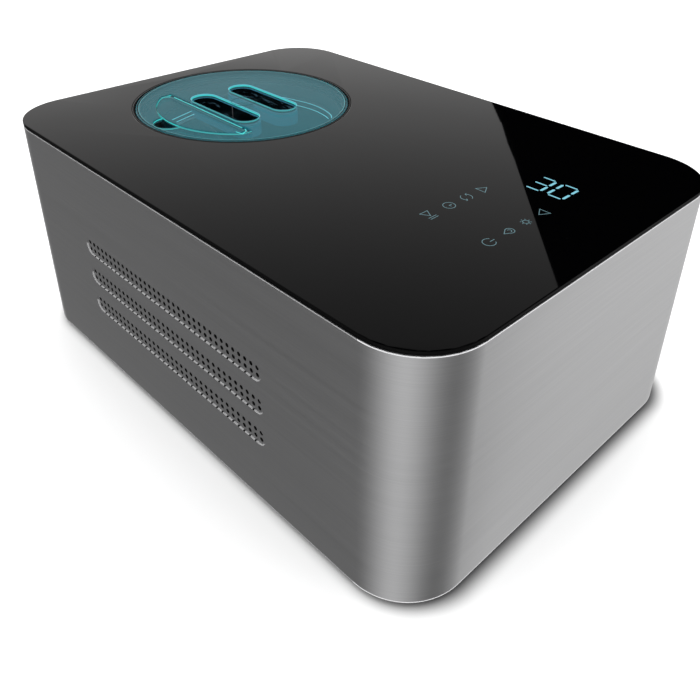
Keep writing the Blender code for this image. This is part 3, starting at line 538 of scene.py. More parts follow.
LID_CLEAR = cloudy(
    "tinted_lid", (0.002, 0.114, 0.146), (0.004, 0.143, 0.180), 0.04, 0.10,
    grain=60.0, bump=0, cloud=14.0, Alpha=0.46, IOR=1.58, Specular_IOR_Level=0.9,
)
# Glows painted as highlights on the lid's and the flap's edges and lines
LID_EDGE = glowing("lit_lid_edge", (0.05, 0.66, 0.62), 0.45, (0.03, 0.38, 0.38), (0.05, 0.46, 0.44))
LID_GLOW_LINE = glowing("painted_highlight_lid_line", (0.10, 0.38, 0.46), 0.50, (0.04, 0.22, 0.26), (0.05, 0.26, 0.30))
RIM_LINE = cloudy("pale_rim_line", (0.04, 0.17, 0.19), (0.05, 0.21, 0.23), 0.10, 0.20, bump=0)
# The slot's inner wall and the notch guard are painted dark as shade, with painted streaks of reflection
SLOT_INSIDE = streaked("slot_inside", (0.0006, 0.002, 0.003), (0.060, 0.125, 0.170))
NOTCH_INSIDE = streaked("notch_inside", (0.001, 0.024, 0.036), (0.012, 0.110, 0.130))
# The slot walls' outer side glows as a painted light so that it shows through the lid
SLOT_OUTSIDE = glowing("slot_outside", (0.04, 0.28, 0.46), 0.28, (0.01, 0.15, 0.24), (0.015, 0.18, 0.28))
SCREEN_CYAN = glowing("display_cyan", (0.22, 0.56, 0.68), 0.95, (0.02, 0.06, 0.07), (0.03, 0.08, 0.09))
ICON_CYAN = glowing("symbol_cyan", (0.20, 0.38, 0.43), 0.50, (0.02, 0.035, 0.04), (0.03, 0.045, 0.05))
ALUMINIUM = cloudy(
    "spun_aluminium", (0.62, 0.63, 0.64), (0.72, 0.73, 0.74), 0.28, 0.40, metallic=1.0, grain=600.0
)
BOWL_COATING = cloudy("bowl_coating", (0.008, 0.009, 0.010), (0.014, 0.015, 0.017), 0.25, 0.40, metallic=0.2)
PADDLE_PLASTIC = cloudy("paddle_plastic", (0.045, 0.060, 0.068), (0.060, 0.078, 0.088), 0.28, 0.40)
# Pale blue-grey painted as a highlight on the scrapers' top edges
PADDLE_HIGHLIGHT = cloudy("painted_highlight_paddle_edge", (0.30, 0.50, 0.56), (0.36, 0.56, 0.62), 0.25, 0.35)
SILICONE = cloudy("silicone", (0.09, 0.09, 0.10), (0.12, 0.12, 0.13), 0.60, 0.75)
RUBBER = cloudy("rubber", (0.012, 0.012, 0.012), (0.028, 0.028, 0.028), 0.75, 0.92, grain=1400.0, bump=0.4)
ZINC = cloudy("zinc_plate", (0.48, 0.49, 0.50), (0.60, 0.61, 0.63), 0.30, 0.48, metallic=1.0, grain=260.0)
ENAMEL = cloudy("black_enamel", (0.012, 0.012, 0.012), (0.022, 0.022, 0.022), 0.35, 0.5, grain=420.0)
COPPER = cloudy("copper", (0.62, 0.27, 0.15), (0.76, 0.38, 0.23), 0.25, 0.42, metallic=1.0, grain=180.0)
FOAM = cloudy("foam", (0.70, 0.60, 0.34), (0.84, 0.75, 0.48), 0.9, 1.0, grain=700.0, bump=0.7, depth=0.0004)
BOARD = cloudy("circuit_board", (0.012, 0.11, 0.045), (0.025, 0.18, 0.075), 0.40, 0.55, grain=260.0)
DARK_GLOSS = cloudy("moulded_display", (0.025, 0.040, 0.048), (0.035, 0.055, 0.062), 0.2, 0.3)
BAKELITE = cloudy("bakelite", (0.06, 0.06, 0.068), (0.09, 0.09, 0.10), 0.42, 0.58, grain=500.0)

FINISH_BY_SLOT = {
    "brushed_steel": STEEL,
    "black_glass": GLASS,
    "black_plastic": BLACK_PLASTIC,
    "teal_plastic": LID_CLEAR,
    "aluminium": ALUMINIUM,
    "coated_bowl": BOWL_COATING,
    "paddle_plastic": PADDLE_PLASTIC,
    "silicone": SILICONE,
    "rubber": RUBBER,
    "zinc_steel": ZINC,
    "compressor_paint": ENAMEL,
    "copper": COPPER,
    "foam": FOAM,
    "circuit_board": BOARD,
    "display": DARK_GLOSS,
    "bakelite": BAKELITE,
}


def finish_cad_nodes():
    """Every node that stays gets its slot's finish."""
    slots = {row["node"]: row["material_slot"] for row in frame["record"]["subparts"]}
    for name, node in frame["nodes"].items():
        node.data.materials.clear()
        node.data.materials.append(FINISH_BY_SLOT[slots[name]])


# ---------------------------------------------------------------- case


def wall_loop(bm, inset, z):
    return add_loop(bm, rounded_rectangle(inset), z)


def strip_outline(inset, columns):
    """A vent strip's outline in its own face. Its lower edge is split where a third row of holes is painted
    on the lip as dark hole shade.
    """
    outline = stadium(VENT_LENGTH, VENT_HEIGHT, inset, 12)
    split = [x + side * LIP_GAP / 2 for x in columns for side in (-1, 1)]
    return outline + [(x, inset - VENT_HEIGHT / 2) for x in split]


def punched_strip(bm, level, surface, inwards, face_loops, back_loops):
    """One pressed vent strip with its holes. Its upper and lower loops join the sheet's two faces."""

    def loop(outline, depth):
        return [bm.verts.new((VENT_X + x, surface + inwards * depth, level + z)) for x, z in outline]

    places = [(k - (HOLE_COUNT - 1) / 2) * HOLE_PITCH for k in range(HOLE_COUNT)]
    columns = [x for x in places if abs(x) < (VENT_LENGTH - VENT_HEIGHT) / 2 - LIP_GAP]
    rim, floor = strip_outline(0.0, columns), strip_outline(VENT_LIP, columns)
    smooth = len(rim) - 2 * len(columns)
    rim_face, floor_face = loop(rim, 0.0), loop(floor, VENT_DEPTH)
    rim_back, floor_back = loop(rim, SHEET), loop(floor, SHEET + VENT_DEPTH)
    for k in range(len(rim)):
        n = (k + 1) % len(rim)
        lip = bm.faces.new((rim_face[k], rim_face[n], floor_face[n], floor_face[k]))
        # Lip faces at the third row's columns are painted dark as hole shade; the rest of the lower lip takes
        # a painted highlight
        if k >= smooth and (k - smooth) % 2 == 0:
            lip.material_index = 2
        elif rim[k][1] < (0.0028 if rim[k][0] < 0 else 0.0):
            lip.material_index = 1
    bridge(bm, rim_back, floor_back)
    holes = []
    for row in HOLE_ROWS:
        for x in places:
            outline = circle(HOLE_RADIUS, 10, (x, row))
            near, far = loop(outline, VENT_DEPTH), loop(outline, SHEET + VENT_DEPTH)
            # The hole walls are painted dark as shade
            bridge(bm, near, far, 2)
            holes.append((near, far))
    fill(bm, [floor_face] + [near for near, _ in holes])
    fill(bm, [floor_back] + [far for _, far in holes])
    face_loops.append(rim_face)
    back_loops.append(rim_back)


def case_shell():
    """The steel wrap: one bent sheet with rounded edges and three punched strips on two sides."""
    bm = bmesh.new()
    bottom, top = HOUSING_LOW[2], HOUSING_HIGH[2]
    soft = 0.0005
    # (inset, height) pairs. The second step up is a thin band along the bottom edge, for a painted highlight
    outer = [(0.0004, bottom), (0.0, bottom + 0.0004), (0.0, bottom + 0.0011)]
    outer += [(0.0, top - soft), (0.0002, top - 0.0002), (soft, top)]
    inner = [(SHEET, top), (SHEET, bottom)]
    loops = [wall_loop(bm, inset, z) for inset, z in outer + inner]
    count = len(loops[0])
    quarter = count // 4
    flats = {quarter - 1: 1, 3 * quarter - 1: -1}
    for step, (first, second) in enumerate(zip(loops, loops[1:] + loops[:1])):
        for k in range(count):
            n = (k + 1) % count
            if step in (2, 6) and k in flats:
                continue
            side = bm.faces.new((first[k], first[n], second[n], second[k]))
            # Painted highlights: the bottom bevel and the top face take the paler steel all round; the top's
            # rounded edge takes it too, and the thin band above the bottom bevel takes it on the -Y side;
            # along the control end the band and the rounded edge take the brighter steel
            control_end = first[k].co.x > LENGTH / 2 - 2 * CORNER
            if step in (1, 3, 4) and control_end:
                side.material_index = 3
            elif step in (0, 3, 4, 5) or step == 1 and k == 3 * quarter - 1:
                side.material_index = 1
    for k, side in flats.items():
        n = k + 1
        face_loops = [[loops[2][k], loops[2][n], loops[3][n], loops[3][k]]]
        back_loops = [[loops[7][k], loops[7][n], loops[6][n], loops[6][k]]]
        for level in VENT_LEVELS:
            punched_strip(bm, level, side * WIDTH / 2, -side, face_loops, back_loops)
        if side > 0:
            add_gland_hole(bm, face_loops, back_loops)
        fill(bm, face_loops)
        fill(bm, back_loops)
    finishes = [STEEL, STEEL_HIGHLIGHT, HOLE_SHADE, LIT_EDGE]
    piece("case_shell", bm, finishes, "cabinet", "brushed_steel", "steel_housing")


def add_gland_hole(bm, face_loops, back_loops):
    low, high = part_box("cord_gland")
    centre = ((low[0] + high[0]) / 2, (low[2] + high[2]) / 2)
    outline = circle(0.0085, 32, centre)
    near = [bm.verts.new((x, WIDTH / 2, z)) for x, z in outline]
    far = [bm.verts.new((x, WIDTH / 2 - SHEET, z)) for x, z in outline]
    bridge(bm, near, far)
    face_loops.append(near)
    back_loops.append(far)


def glass_panel():
    levels = [(GLASS_LOW[2], 0.0003), (GLASS_LOW[2] + 0.0003, 0.0), (GLASS_FACE - 0.0006, 0.0)]
    levels += [(GLASS_FACE - 0.0002, 0.0002), (GLASS_FACE, 0.0007)]
    opening = SEAT_RADIUS + 0.0003

    def hole(grow):
        return circle(opening - grow, 160, BOWL)

    bm = plate(rounded_rectangle, [hole], levels, 1)
    for face in bm.faces:
        if face.calc_center_median().z > GLASS_FACE - 0.0003:
            face.material_index = 0
    piece("glass_panel", bm, [GLASS, GLASS_EDGE], "cabinet", "black_glass", "glass_top")


def seat_ring():
    ledge_inner, ledge_top = 0.0750, 0.1645
    profile = [
        (ledge_inner, SEAT_LOW[2]),
        (SEAT_RADIUS, SEAT_LOW[2]),
        (SEAT_RADIUS, SEAT_HIGH[2]),
        (LID_RADIUS + 0.0015, SEAT_HIGH[2]),
        (LID_RADIUS + 0.0006, SEAT_HIGH[2]),
        (LID_RADIUS + 0.0006, ledge_top),
        (ledge_inner, ledge_top),
    ]
    bm = turned(softened(profile, 0.0002), 160)
    for face in bm.faces:
        spot = face.calc_center_median()
        if spot.z > SEAT_HIGH[2] - 0.0001 and (spot.xy - Vector(BOWL)).length > LID_RADIUS + 0.0015:
            face.material_index = 1
    piece("seat_ring", bm, [GLASS_EDGE, GLASS], "cabinet", "black_plastic", "lid_seat_ring")


# ---------------------------------------------------------------- bowl, paddle and well


def well_liner():
    flange_top = WELL_HIGH[2]
    profile = [
        (0.0108, WELL_LOW[2]),
        (0.0750, WELL_LOW[2]),
        (0.0750, flange_top - 0.0015),
        (0.0840, flange_top - 0.0015),
        (0.0840, flange_top),
        (0.0735, flange_top),
        (0.0735, WELL_LOW[2] + 0.0015),
        (0.0108, WELL_LOW[2] + 0.0015),
    ]
    bm = turned(softened(profile, 0.0006), 128)
    piece("well_liner", bm, [ALUMINIUM], "cabinet", "aluminium", "cooling_well")


def bowl_shell():
    """The bowl with its hub tube, its rolled rim and the two ears for the handle."""
    rim_top, bottom = 0.1500, BOWL_LOW[2]
    wall = [
        (0.0065, bottom),
        (0.0647, bottom),
        (0.0690, bottom + 0.0018),
        (0.0707, bottom + 0.0060),
        (0.0707, rim_top - 0.0030),
        (0.0728, rim_top - 0.0030),
        (0.0728, rim_top),
        (0.0695, rim_top),
        (0.0695, bottom + 0.0075),
        (0.0680, bottom + 0.0033),
        (0.0635, bottom + 0.0015),
        (0.0085, bottom + 0.0015),
        (0.0085, 0.0900),
        (0.0065, 0.0900),
    ]
    bm = turned(softened(wall, 0.0007, 2), 112)
    for side in (-1, 1):
        add_ear(bm, side)
    piece("mixing_bowl", bm, [BOWL_COATING], "bowl", "coated_bowl", "bowl")


def add_ear(bm, side):
    """A rounded tab that stands on the rim, with the hole that the handle turns in."""
    half = 0.0040
    outline = [(-half, 0.1482), (half, 0.1482)]
    outline += arc((0.0, EAR_PIVOT - 0.0003), half, 0, 180, 14)
    hole = circle(0.0019, 20, (0.0, EAR_PIVOT))
    near, far = 0.0713, 0.0723
    sheets = []
    for radius in (near, far):
        x = BOWL_X + side * radius
        edge = [bm.verts.new((x, y, z)) for y, z in outline]
        bore = [bm.verts.new((x, y, z)) for y, z in hole]
        fill(bm, [edge, bore])
        sheets.append((edge, bore))
    bridge(bm, sheets[0][0], sheets[1][0])
    bridge(bm, sheets[0][1], sheets[1][1])


def wire(name, points, radius, finish, body, slot, *replaced):
    curve = bpy.data.curves.new(name, "CURVE")
    curve.dimensions = "3D"
    curve.bevel_depth = radius
    curve.bevel_resolution = 4
    curve.use_fill_caps = True
    spline = curve.splines.new("POLY")
    spline.points.add(len(points) - 1)
    for point, spot in zip(spline.points, points):
        point.co = (*spot, 1.0)
    spline.use_smooth = True
    curve.materials.append(finish)
    thing = put(name, curve)
    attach(thing, body)
    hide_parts(*replaced)
    return thing


def bowl_handle():
    ends = [(BOWL_X + 0.0724, 0.0), (BOWL_X + 0.0706, 0.0)]
    plan = ends + arc(BOWL, 0.0690, 1.5, 178.5, 72) + [(2 * BOWL_X - x, y) for x, y in ends[::-1]]
    points = [(x, y, EAR_PIVOT) for x, y in plan]
    wire("bowl_handle", points, 0.0015, ZINC, "bail", "zinc_steel", "bail_handle")


def paddle_blades():
    """The paddle: a hub and stem, two window-framed arms and two curved wall scrapers."""
    low = PADDLE_LOW[2]
    profile = [
        (0.0, 0.1090),
        (0.0047, 0.1085),
        (0.0050, 0.0915),
        (0.0092, 0.0910),
        (0.0092, low),
        (0.0120, low),
        (0.0120, 0.1000),
        (0.0065, 0.1150),
        (0.0055, 0.1505),
        (0.0045, 0.1505),
        (0.0045, 0.1600),
        (0.0035, PADDLE_HIGH[2]),
        (0.0, PADDLE_HIGH[2]),
    ]
    hub = turned(profile, 48)
    half = 0.0018
    reach, top = 0.0640, 0.1400
    for side in (-1, 1):
        frame_edge = [(0.0112, low + 0.0006), (reach, low + 0.0006), (reach, top), (0.0062, 0.1190)]
        window = [(0.0135, low + 0.0106), (reach - 0.008, low + 0.0106), (reach - 0.008, 0.1260)]
        window += [(0.0110, 0.1080)]
        for z_list in (frame_edge, window):
            for k, (r, z) in enumerate(z_list):
                z_list[k] = (BOWL_X + side * r, z)
        faces = []
        for y in (-half, half):
            outer = [hub.verts.new((x, y, z)) for x, z in frame_edge]
            inner = [hub.verts.new((x, y, z)) for x, z in window]
            bridge(hub, outer, inner)
            faces.append((outer, inner))
        bridge(hub, faces[0][0], faces[1][0])
        bridge(hub, faces[0][1], faces[1][1])
        start = 0 if side > 0 else 180
        add_scraper(hub, start, low + 0.0012, top + 0.0012)
    piece("paddle_blades", hub, [PADDLE_PLASTIC, PADDLE_HIGHLIGHT], "paddle", "paddle_plastic", "paddle")


def add_scraper(bm, start, bottom, top):
    """A curved blade that follows the bowl's wall, with a pale edge on top painted as a highlight."""
    outer = arc(BOWL, 0.0655, start - 4, start + 44, 24)
    inner = arc(BOWL, 0.0619, start + 44, start - 4, 24)
    slim = arc(BOWL, 0.0651, start - 3.7, start + 43.7, 24) + arc(BOWL, 0.0623, start + 43.7, start - 3.7, 24)
    full = outer + inner
    loops = [add_loop(bm, full, bottom), add_loop(bm, full, top - 0.0004), add_loop(bm, slim, top)]
    bridge(bm, loops[0], loops[1])
    bridge(bm, loops[1], loops[2], 1)
    fill(bm, [loops[0]])
    fill(bm, [loops[2]], 1)


# ---------------------------------------------------------------- lid and flap


def lid_levels(bottom, soft, inset=0.0):
    """Heights and insets of a lid plate: a plain wall, a thin wall for the painted glowing band and a rounded
    top edge.
    """
    levels = [(bottom, inset + 0.0003), (bottom + 0.0003, inset), (LID_TOP - soft - 0.0008, inset)]
    levels += [(LID_TOP - soft, inset), (LID_TOP - 0.0002, inset + 0.0002), (LID_TOP, inset + soft)]
    return levels


def light_edges(bm, soft, reach, pale_reach):
    """The thin upright band under the top edge takes a painted glowing highlight inside reach.

    Rounded edges inside pale_reach take a paler painted glow. The edges along the hinge stay clear.
    """
    for face in bm.faces:
        spot = face.calc_center_median()
        middle = (spot.xy - Vector(BOWL)).length
        depth = LID_TOP - spot.z
        face.material_index = 0
        if HINGE_Y - 0.0011 < spot.y < FILLER_BACK + 0.0009:
            continue
        if abs(face.normal.z) < 0.5 and soft < depth < soft + 0.0008 and middle < reach:
            face.material_index = 1
        elif 0.00001 < depth < soft and middle < pale_reach:
            face.material_index = 2


def lid_disc():
    """The clear lid: a disc with two finger slots, the filler opening and the walls below them."""
    soft = 0.0007

    def rim(inset):
        return circle(LID_RADIUS - inset * 0.5, 160, BOWL)

    def grip(side):
        return lambda grow: stadium(GRIP_LENGTH, GRIP_WIDTH, grow, 20, (BOWL_X, side * GRIP_OFFSET))

    bm = plate(rim, [grip(-1), grip(1), opening_outline], lid_levels(LID_UNDERSIDE, soft))
    bm.normal_update()
    light_edges(bm, soft, LID_RADIUS - 0.002, 0.048)
    finishes = [LID_CLEAR, LID_EDGE, LID_GLOW_LINE]
    piece("lid_disc", bm, finishes, "lid", "teal_plastic", "lid", sharp=18)
    for side, name in ((-1, "front"), (1, "back")):
        outline = grip(side)
        # Outer side: painted glow; inner side: painted shade with painted streaks of reflection
        wall = open_wall(outline(0.0001), outline(-0.0012), WALL_BOTTOM, LID_UNDERSIDE - 0.0001)
        piece(f"{name}_slot_wall", wall, [SLOT_OUTSIDE, SLOT_INSIDE], "lid", "teal_plastic")
    rib = bmesh.new()
    mark(rib, on_lid(*RIB), (WALL_BOTTOM + 0.0005, LID_UNDERSIDE - 0.0002))
    piece("front_slot_rib", rib, [SILICONE], "lid", "teal_plastic")
    # The notch guard is painted dark as shade, with painted streaks of reflection
    guard = bmesh.new()
    guard_line = arc(BOWL, FILLER_RADIUS - 0.0020, 238, 290, 20)
    stroke(guard, guard_line, 0.0008, levels=(WALL_BOTTOM, LID_UNDERSIDE - 0.0001))
    piece("notch_guard", guard, [NOTCH_INSIDE], "lid", "teal_plastic")
    boss = [(0.0052, LID_LOW[2]), (0.0074, LID_LOW[2]), (0.0074, LID_UNDERSIDE), (0.0052, LID_UNDERSIDE)]
    piece("lid_boss", turned(softened(boss, 0.0003), 64), [LID_CLEAR], "lid", "teal_plastic")


def open_wall(inner, outer, bottom, top):
    """A tube with any outline. Its inner side takes the second finish."""
    bm = bmesh.new()
    loops = [add_loop(bm, outer, bottom), add_loop(bm, outer, top)]
    loops += [add_loop(bm, inner, top), add_loop(bm, inner, bottom)]
    for k, (first, second) in enumerate(zip(loops, loops[1:] + loops[:1])):
        bridge(bm, first, second, 1 if k == 2 else 0)
    return bm


def on_lid(*points):
    """Points measured from the lid's middle."""
    return [(BOWL_X + x, y) for x, y in points]


def lid_lines():
    """Fine lines in the lid's face: a dark ring painted as shade in the rim groove, a pale rim line, a dark
    ring round the boss, and curves and a tab outline that glow as painted highlights.
    """
    for name, radius, width, finish in (
        # Dark ring painted as the shade in the rim groove
        ("rim_groove_shade", LID_RADIUS - 0.0014, 0.0005, GLASS_EDGE),
        ("rim_line", LID_RADIUS - 0.0024, 0.0005, RIM_LINE),
        ("boss_line", 0.0092, 0.0003, GLASS_EDGE),
    ):
        inner = circle(radius - width / 2, 128, BOWL)
        outer = circle(radius + width / 2, 128, BOWL)
        piece(name, open_wall(inner, outer, *LID_INLAY), [finish, finish], "lid", "teal_plastic")
    # Two curves painted on the face as glowing highlights
    long_curve = on_lid((0.0120, 0.0285), (0.0254, 0.0322), (0.0392, 0.0347), (0.0527, 0.0340))
    long_curve += on_lid((0.0651, 0.0306), (0.0715, 0.0262))
    short_curve = on_lid((0.0330, 0.0245), (0.0400, 0.0262), (0.0513, 0.0273), (0.0635, 0.0258))
    short_curve += on_lid((0.0710, 0.0235))
    for name, points in (("long_curve", long_curve), ("short_curve", short_curve)):
        bm = bmesh.new()
        stroke(bm, eased(points), 0.0007, levels=LID_INLAY)
        piece(name, bm, [LID_GLOW_LINE], "lid", "teal_plastic")
    # A tab outline painted as a glowing highlight
    bm = bmesh.new()
    tab = on_lid((0.0470, -0.0337), (0.0505, -0.0352), (0.0535, -0.0405), (0.0470, -0.0415))
    stroke(bm, tab, 0.0006, levels=LID_INLAY)
    piece("hinge_tab", bm, [LID_EDGE], "lid", "teal_plastic")


def eased(points, steps=6):
    """A smooth curve through the points."""
    spots = [Vector(point) for point in points]
    spots = [2 * spots[0] - spots[1]] + spots + [2 * spots[-1] - spots[-2]]
    curve = []
    for a, b, c, d in zip(spots, spots[1:], spots[2:], spots[3:]):
        for k in range(steps):
            t = k / steps
            bend = (c - a) * t + (2 * a - 5 * b + 4 * c - d) * t**2 + (3 * b - a - 3 * c + d) * t**3
            curve.append(tuple(b + bend / 2))
    return curve + [tuple(spots[-2])]


def flap_plate():
    soft, inset = 0.0005, 0.0005
    bottom = LID_UNDERSIDE + 0.0005
    bm = plate(flap_outline, [], lid_levels(bottom, soft, inset))
    bm.normal_update()
    light_edges(bm, soft, 1.0, 0.0)
    piece("flap_plate", bm, [LID_CLEAR, LID_EDGE, LID_GLOW_LINE], "flap", "teal_plastic", "filler_flap", sharp=18)
    half = 0.0435
    barrel = bmesh.new()
    loops = []
    for x, radius in ((-half, 0.0013), (-half + 0.0004, 0.0017), (half - 0.0004, 0.0017), (half, 0.0013)):
        ring = circle(radius, 32)
        loops.append([barrel.verts.new((BOWL_X + x, HINGE_Y + y, HINGE_Z + z)) for y, z in ring])
    for first, second in zip(loops, loops[1:]):
        bridge(barrel, first, second)
    fill(barrel, [loops[0]])
    fill(barrel, [loops[-1]])
    piece("flap_barrel", barrel, [LID_CLEAR], "flap", "teal_plastic")
    # Rib lines painted as glowing highlights
    ribs = bmesh.new()
    stroke(ribs, on_lid((-0.0024, -0.0615), (-0.0085, -0.0410)), 0.0008, levels=LID_INLAY)
    stroke(ribs, on_lid((0.0034, -0.0615), (-0.0018, -0.0432)), 0.0008, levels=LID_INLAY)
    piece("flap_rib_lines", ribs, [LID_GLOW_LINE], "flap", "teal_plastic")
    # A glowing line painted as the highlight along the flap's back edge
    edge = bmesh.new()
    stroke(edge, on_lid((-half, -0.0338), (half, -0.0338)), 0.0005, levels=LID_INLAY)
    piece("flap_back_line", edge, [LID_EDGE], "flap", "teal_plastic")


# ---------------------------------------------------------------- marks on the glass


def mark(bm, outline, levels=GLASS_INLAY):
    """A thin flat mark in a face."""
    low, high = (add_loop(bm, outline, z) for z in levels)
    bridge(bm, low, high)
    fill(bm, [low])
    fill(bm, [high])


def stroke(bm, points, width, closed=False, levels=GLASS_INLAY):
    """A flat line of even width along the points."""
    count = len(points)
    spots = [Vector(point) for point in points]
    left, right = [], []
    for k, spot in enumerate(spots):
        before = spots[k - 1] if k or closed else spot
        after = spots[(k + 1) % count] if k < count - 1 or closed else spot
        into = (spot - before).normalized() if spot != before else (after - spot).normalized()
        out = (after - spot).normalized() if spot != after else into
        middle = (into + out).normalized()
        across = Vector((-middle.y, middle.x))
        across *= width / 2 / max(0.4, across.dot(Vector((-out.y, out.x))))
        left.append(tuple(spot + across))
        right.append(tuple(spot - across))
    if not closed:
        mark(bm, left + right[::-1], levels)
        return
    low_left, high_left = (add_loop(bm, left, z) for z in levels)
    low_right, high_right = (add_loop(bm, right, z) for z in levels)
    bridge(bm, low_left, high_left)
    bridge(bm, low_right, high_right)
    bridge(bm, low_left, low_right)
    bridge(bm, high_left, high_right)


SEGMENTS = {
    "top": ((0.0, 1.0), (1.0, 1.0)),
    "upper_right": ((1.0, 1.0), (1.0, 0.5)),
    "lower_right": ((1.0, 0.5), (1.0, 0.0)),
    "bottom": ((0.0, 0.0), (1.0, 0.0)),
    "lower_left": ((0.0, 0.5), (0.0, 0.0)),
    "upper_left": ((0.0, 1.0), (0.0, 0.5)),
    "middle": ((0.0, 0.5), (1.0, 0.5)),
}
DIGITS = {
    "three": (0.1278, ("top", "upper_right", "lower_right", "bottom", "middle")),
    "zero": (0.1432, ("top", "upper_right", "lower_right", "bottom", "lower_left", "upper_left")),
}


def display_digits():
    width, gap, base = 0.0104, 0.0008, 0.0348
    level_stroke, upright_stroke = 0.0012, 0.0017
    height = DIGIT_HEIGHT - level_stroke
    for name, (left, lit) in DIGITS.items():
        bm = bmesh.new()
        for segment in lit:
            start, end = (Vector((left + a * width, base + b * height)) for a, b in SEGMENTS[segment])
            along = (end - start).normalized()
            thick = upright_stroke if along.y else level_stroke
            start, end = start + along * gap, end - along * gap
            across = Vector((-along.y, along.x)) * thick / 2
            tip = along * thick / 2
            upper = [start + tip + across, end - tip + across]
            lower = [end - tip - across, start + tip - across]
            mark(bm, [start, *upper, end, *lower])
        piece(f"digit_{name}", bm, [SCREEN_CYAN], "cabinet", "display")


def icon(name, strokes):
    bm = bmesh.new()
    for points, closed in strokes:
        stroke(bm, points, 0.00042, closed)
    piece(f"symbol_{name}", bm, [ICON_CYAN], "cabinet", "display")


def shifted(points, x, y, scale=1.0):
    return [(x + px * scale, y + py * scale) for px, py in points]


def touch_symbols():
    left, right = ICON_COLUMNS
    rows = ICON_ROWS
    triangle = [(-0.0036, -0.0028), (0.0036, -0.0028), (0.0, 0.0034)]
    icon("more", [(shifted(triangle, left, rows[3]), True)])
    icon("less", [([(right + x, rows[3] - y) for x, y in triangle], True)])
    play = [(-0.0042, -0.0032), (-0.0042, 0.0032), (0.0012, 0.0)]
    bars = [([(left + x, rows[0] - 0.0032), (left + x, rows[0] + 0.0032)], False) for x in (0.0026, 0.0042)]
    icon("start", [(shifted(play, left, rows[0]), True)] + bars)
    power = arc((right, rows[0]), 0.0037, 125, 415, 28)
    icon("power", [(power, False), ([(right, rows[0] + 0.0008), (right, rows[0] + 0.0046)], False)])
    clock = circle(0.0037, 28, (left, rows[1]))
    hands = [(left, rows[1] + 0.0022), (left, rows[1]), (left + 0.0017, rows[1])]
    icon("timer", [(clock, True), (hands, False)])
    turns = []
    for start in (15, 195):
        turns.append((arc((left, rows[2]), 0.0036, start, start + 120, 14), False))
        angle = math.radians(start + 120)
        tip = Vector((left + 0.0036 * math.cos(angle), rows[2] + 0.0036 * math.sin(angle)))
        back = Vector((math.cos(angle), math.sin(angle))) * 0.0013
        ahead = Vector((-math.sin(angle), math.cos(angle))) * 0.0004
        turns.append(([tuple(tip + back - ahead), tuple(tip + ahead), tuple(tip - back - ahead)], False))
    icon("stir", turns)
    leaf = arc((right, rows[1] + 0.0008), 0.0027, -45, 225, 18) + [(right, rows[1] - 0.0044)]
    vein = arc((right, rows[1] + 0.0006), 0.0012, -20, 200, 10)
    icon("keep_cool", [(leaf, True), (vein, False)])
    rays = [(circle(0.0018, 20, (right, rows[2])), True)]
    for k in range(8):
        ray = Vector((math.cos(math.pi * k / 4), math.sin(math.pi * k / 4)))
        centre = Vector((right, rows[2]))
        rays.append(([tuple(centre + ray * 0.0024), tuple(centre + ray * 0.0033)], False))
    icon("freeze", rays)


# ---------------------------------------------------------------- stage


def camera():
    azimuth, elevation = math.radians(VIEW_AZIMUTH), math.radians(VIEW_ELEVATION)
    roll = math.radians(VIEW_ROLL)
    level = math.cos(elevation)
    back = Vector((math.sin(azimuth) * level, -math.cos(azimuth) * level, math.sin(elevation)))
    right = Vector((math.cos(azimuth), math.sin(azimuth), 0.0))
    up = back.cross(right)
    side = right * math.cos(roll) + up * math.sin(roll)
    high = up * math.cos(roll) - right * math.sin(roll)
    lens = bpy.data.cameras.new("camera")
    lens.lens = 39.12
    lens.sensor_width = 36.0
    lens.shift_x = -0.0213
    lens.shift_y = -0.157
    lens.clip_start = 0.01
    view = put("camera", lens)
    view.matrix_world = Matrix.Translation(VIEWPOINT) @ Matrix((side, high, back)).transposed().to_4x4()
    bpy.context.scene.camera = view


def glow_card(name, mesh, colour):
    """A card that only reflections see. Returns its node tree and the node that glows."""
    material = bpy.data.materials.new(name)
    material.use_nodes = True
    tree = material.node_tree
    tree.nodes.clear()
    glow = add(tree, "ShaderNodeEmission")
    glow.inputs["Color"].default_value = (*colour, 1.0)
    leave = add(tree, "ShaderNodeOutputMaterial")
    tree.links.new(glow.outputs[0], leave.inputs["Surface"])
    mesh.materials.append(material)
    card = put(name, mesh)
    for flag in ("visible_camera", "visible_diffuse", "visible_shadow", "visible_transmission"):
        setattr(card, flag, False)
    return tree, glow


def bounce(spot, facing):
    """Level direction in which the case, facing this way at this spot, mirrors the viewpoint."""
    view = math.atan2(VIEWPOINT.y - spot[1], VIEWPOINT.x - spot[0])
    turn = 2 * math.radians(facing) - view
    return Vector((math.cos(turn), math.sin(turn)))


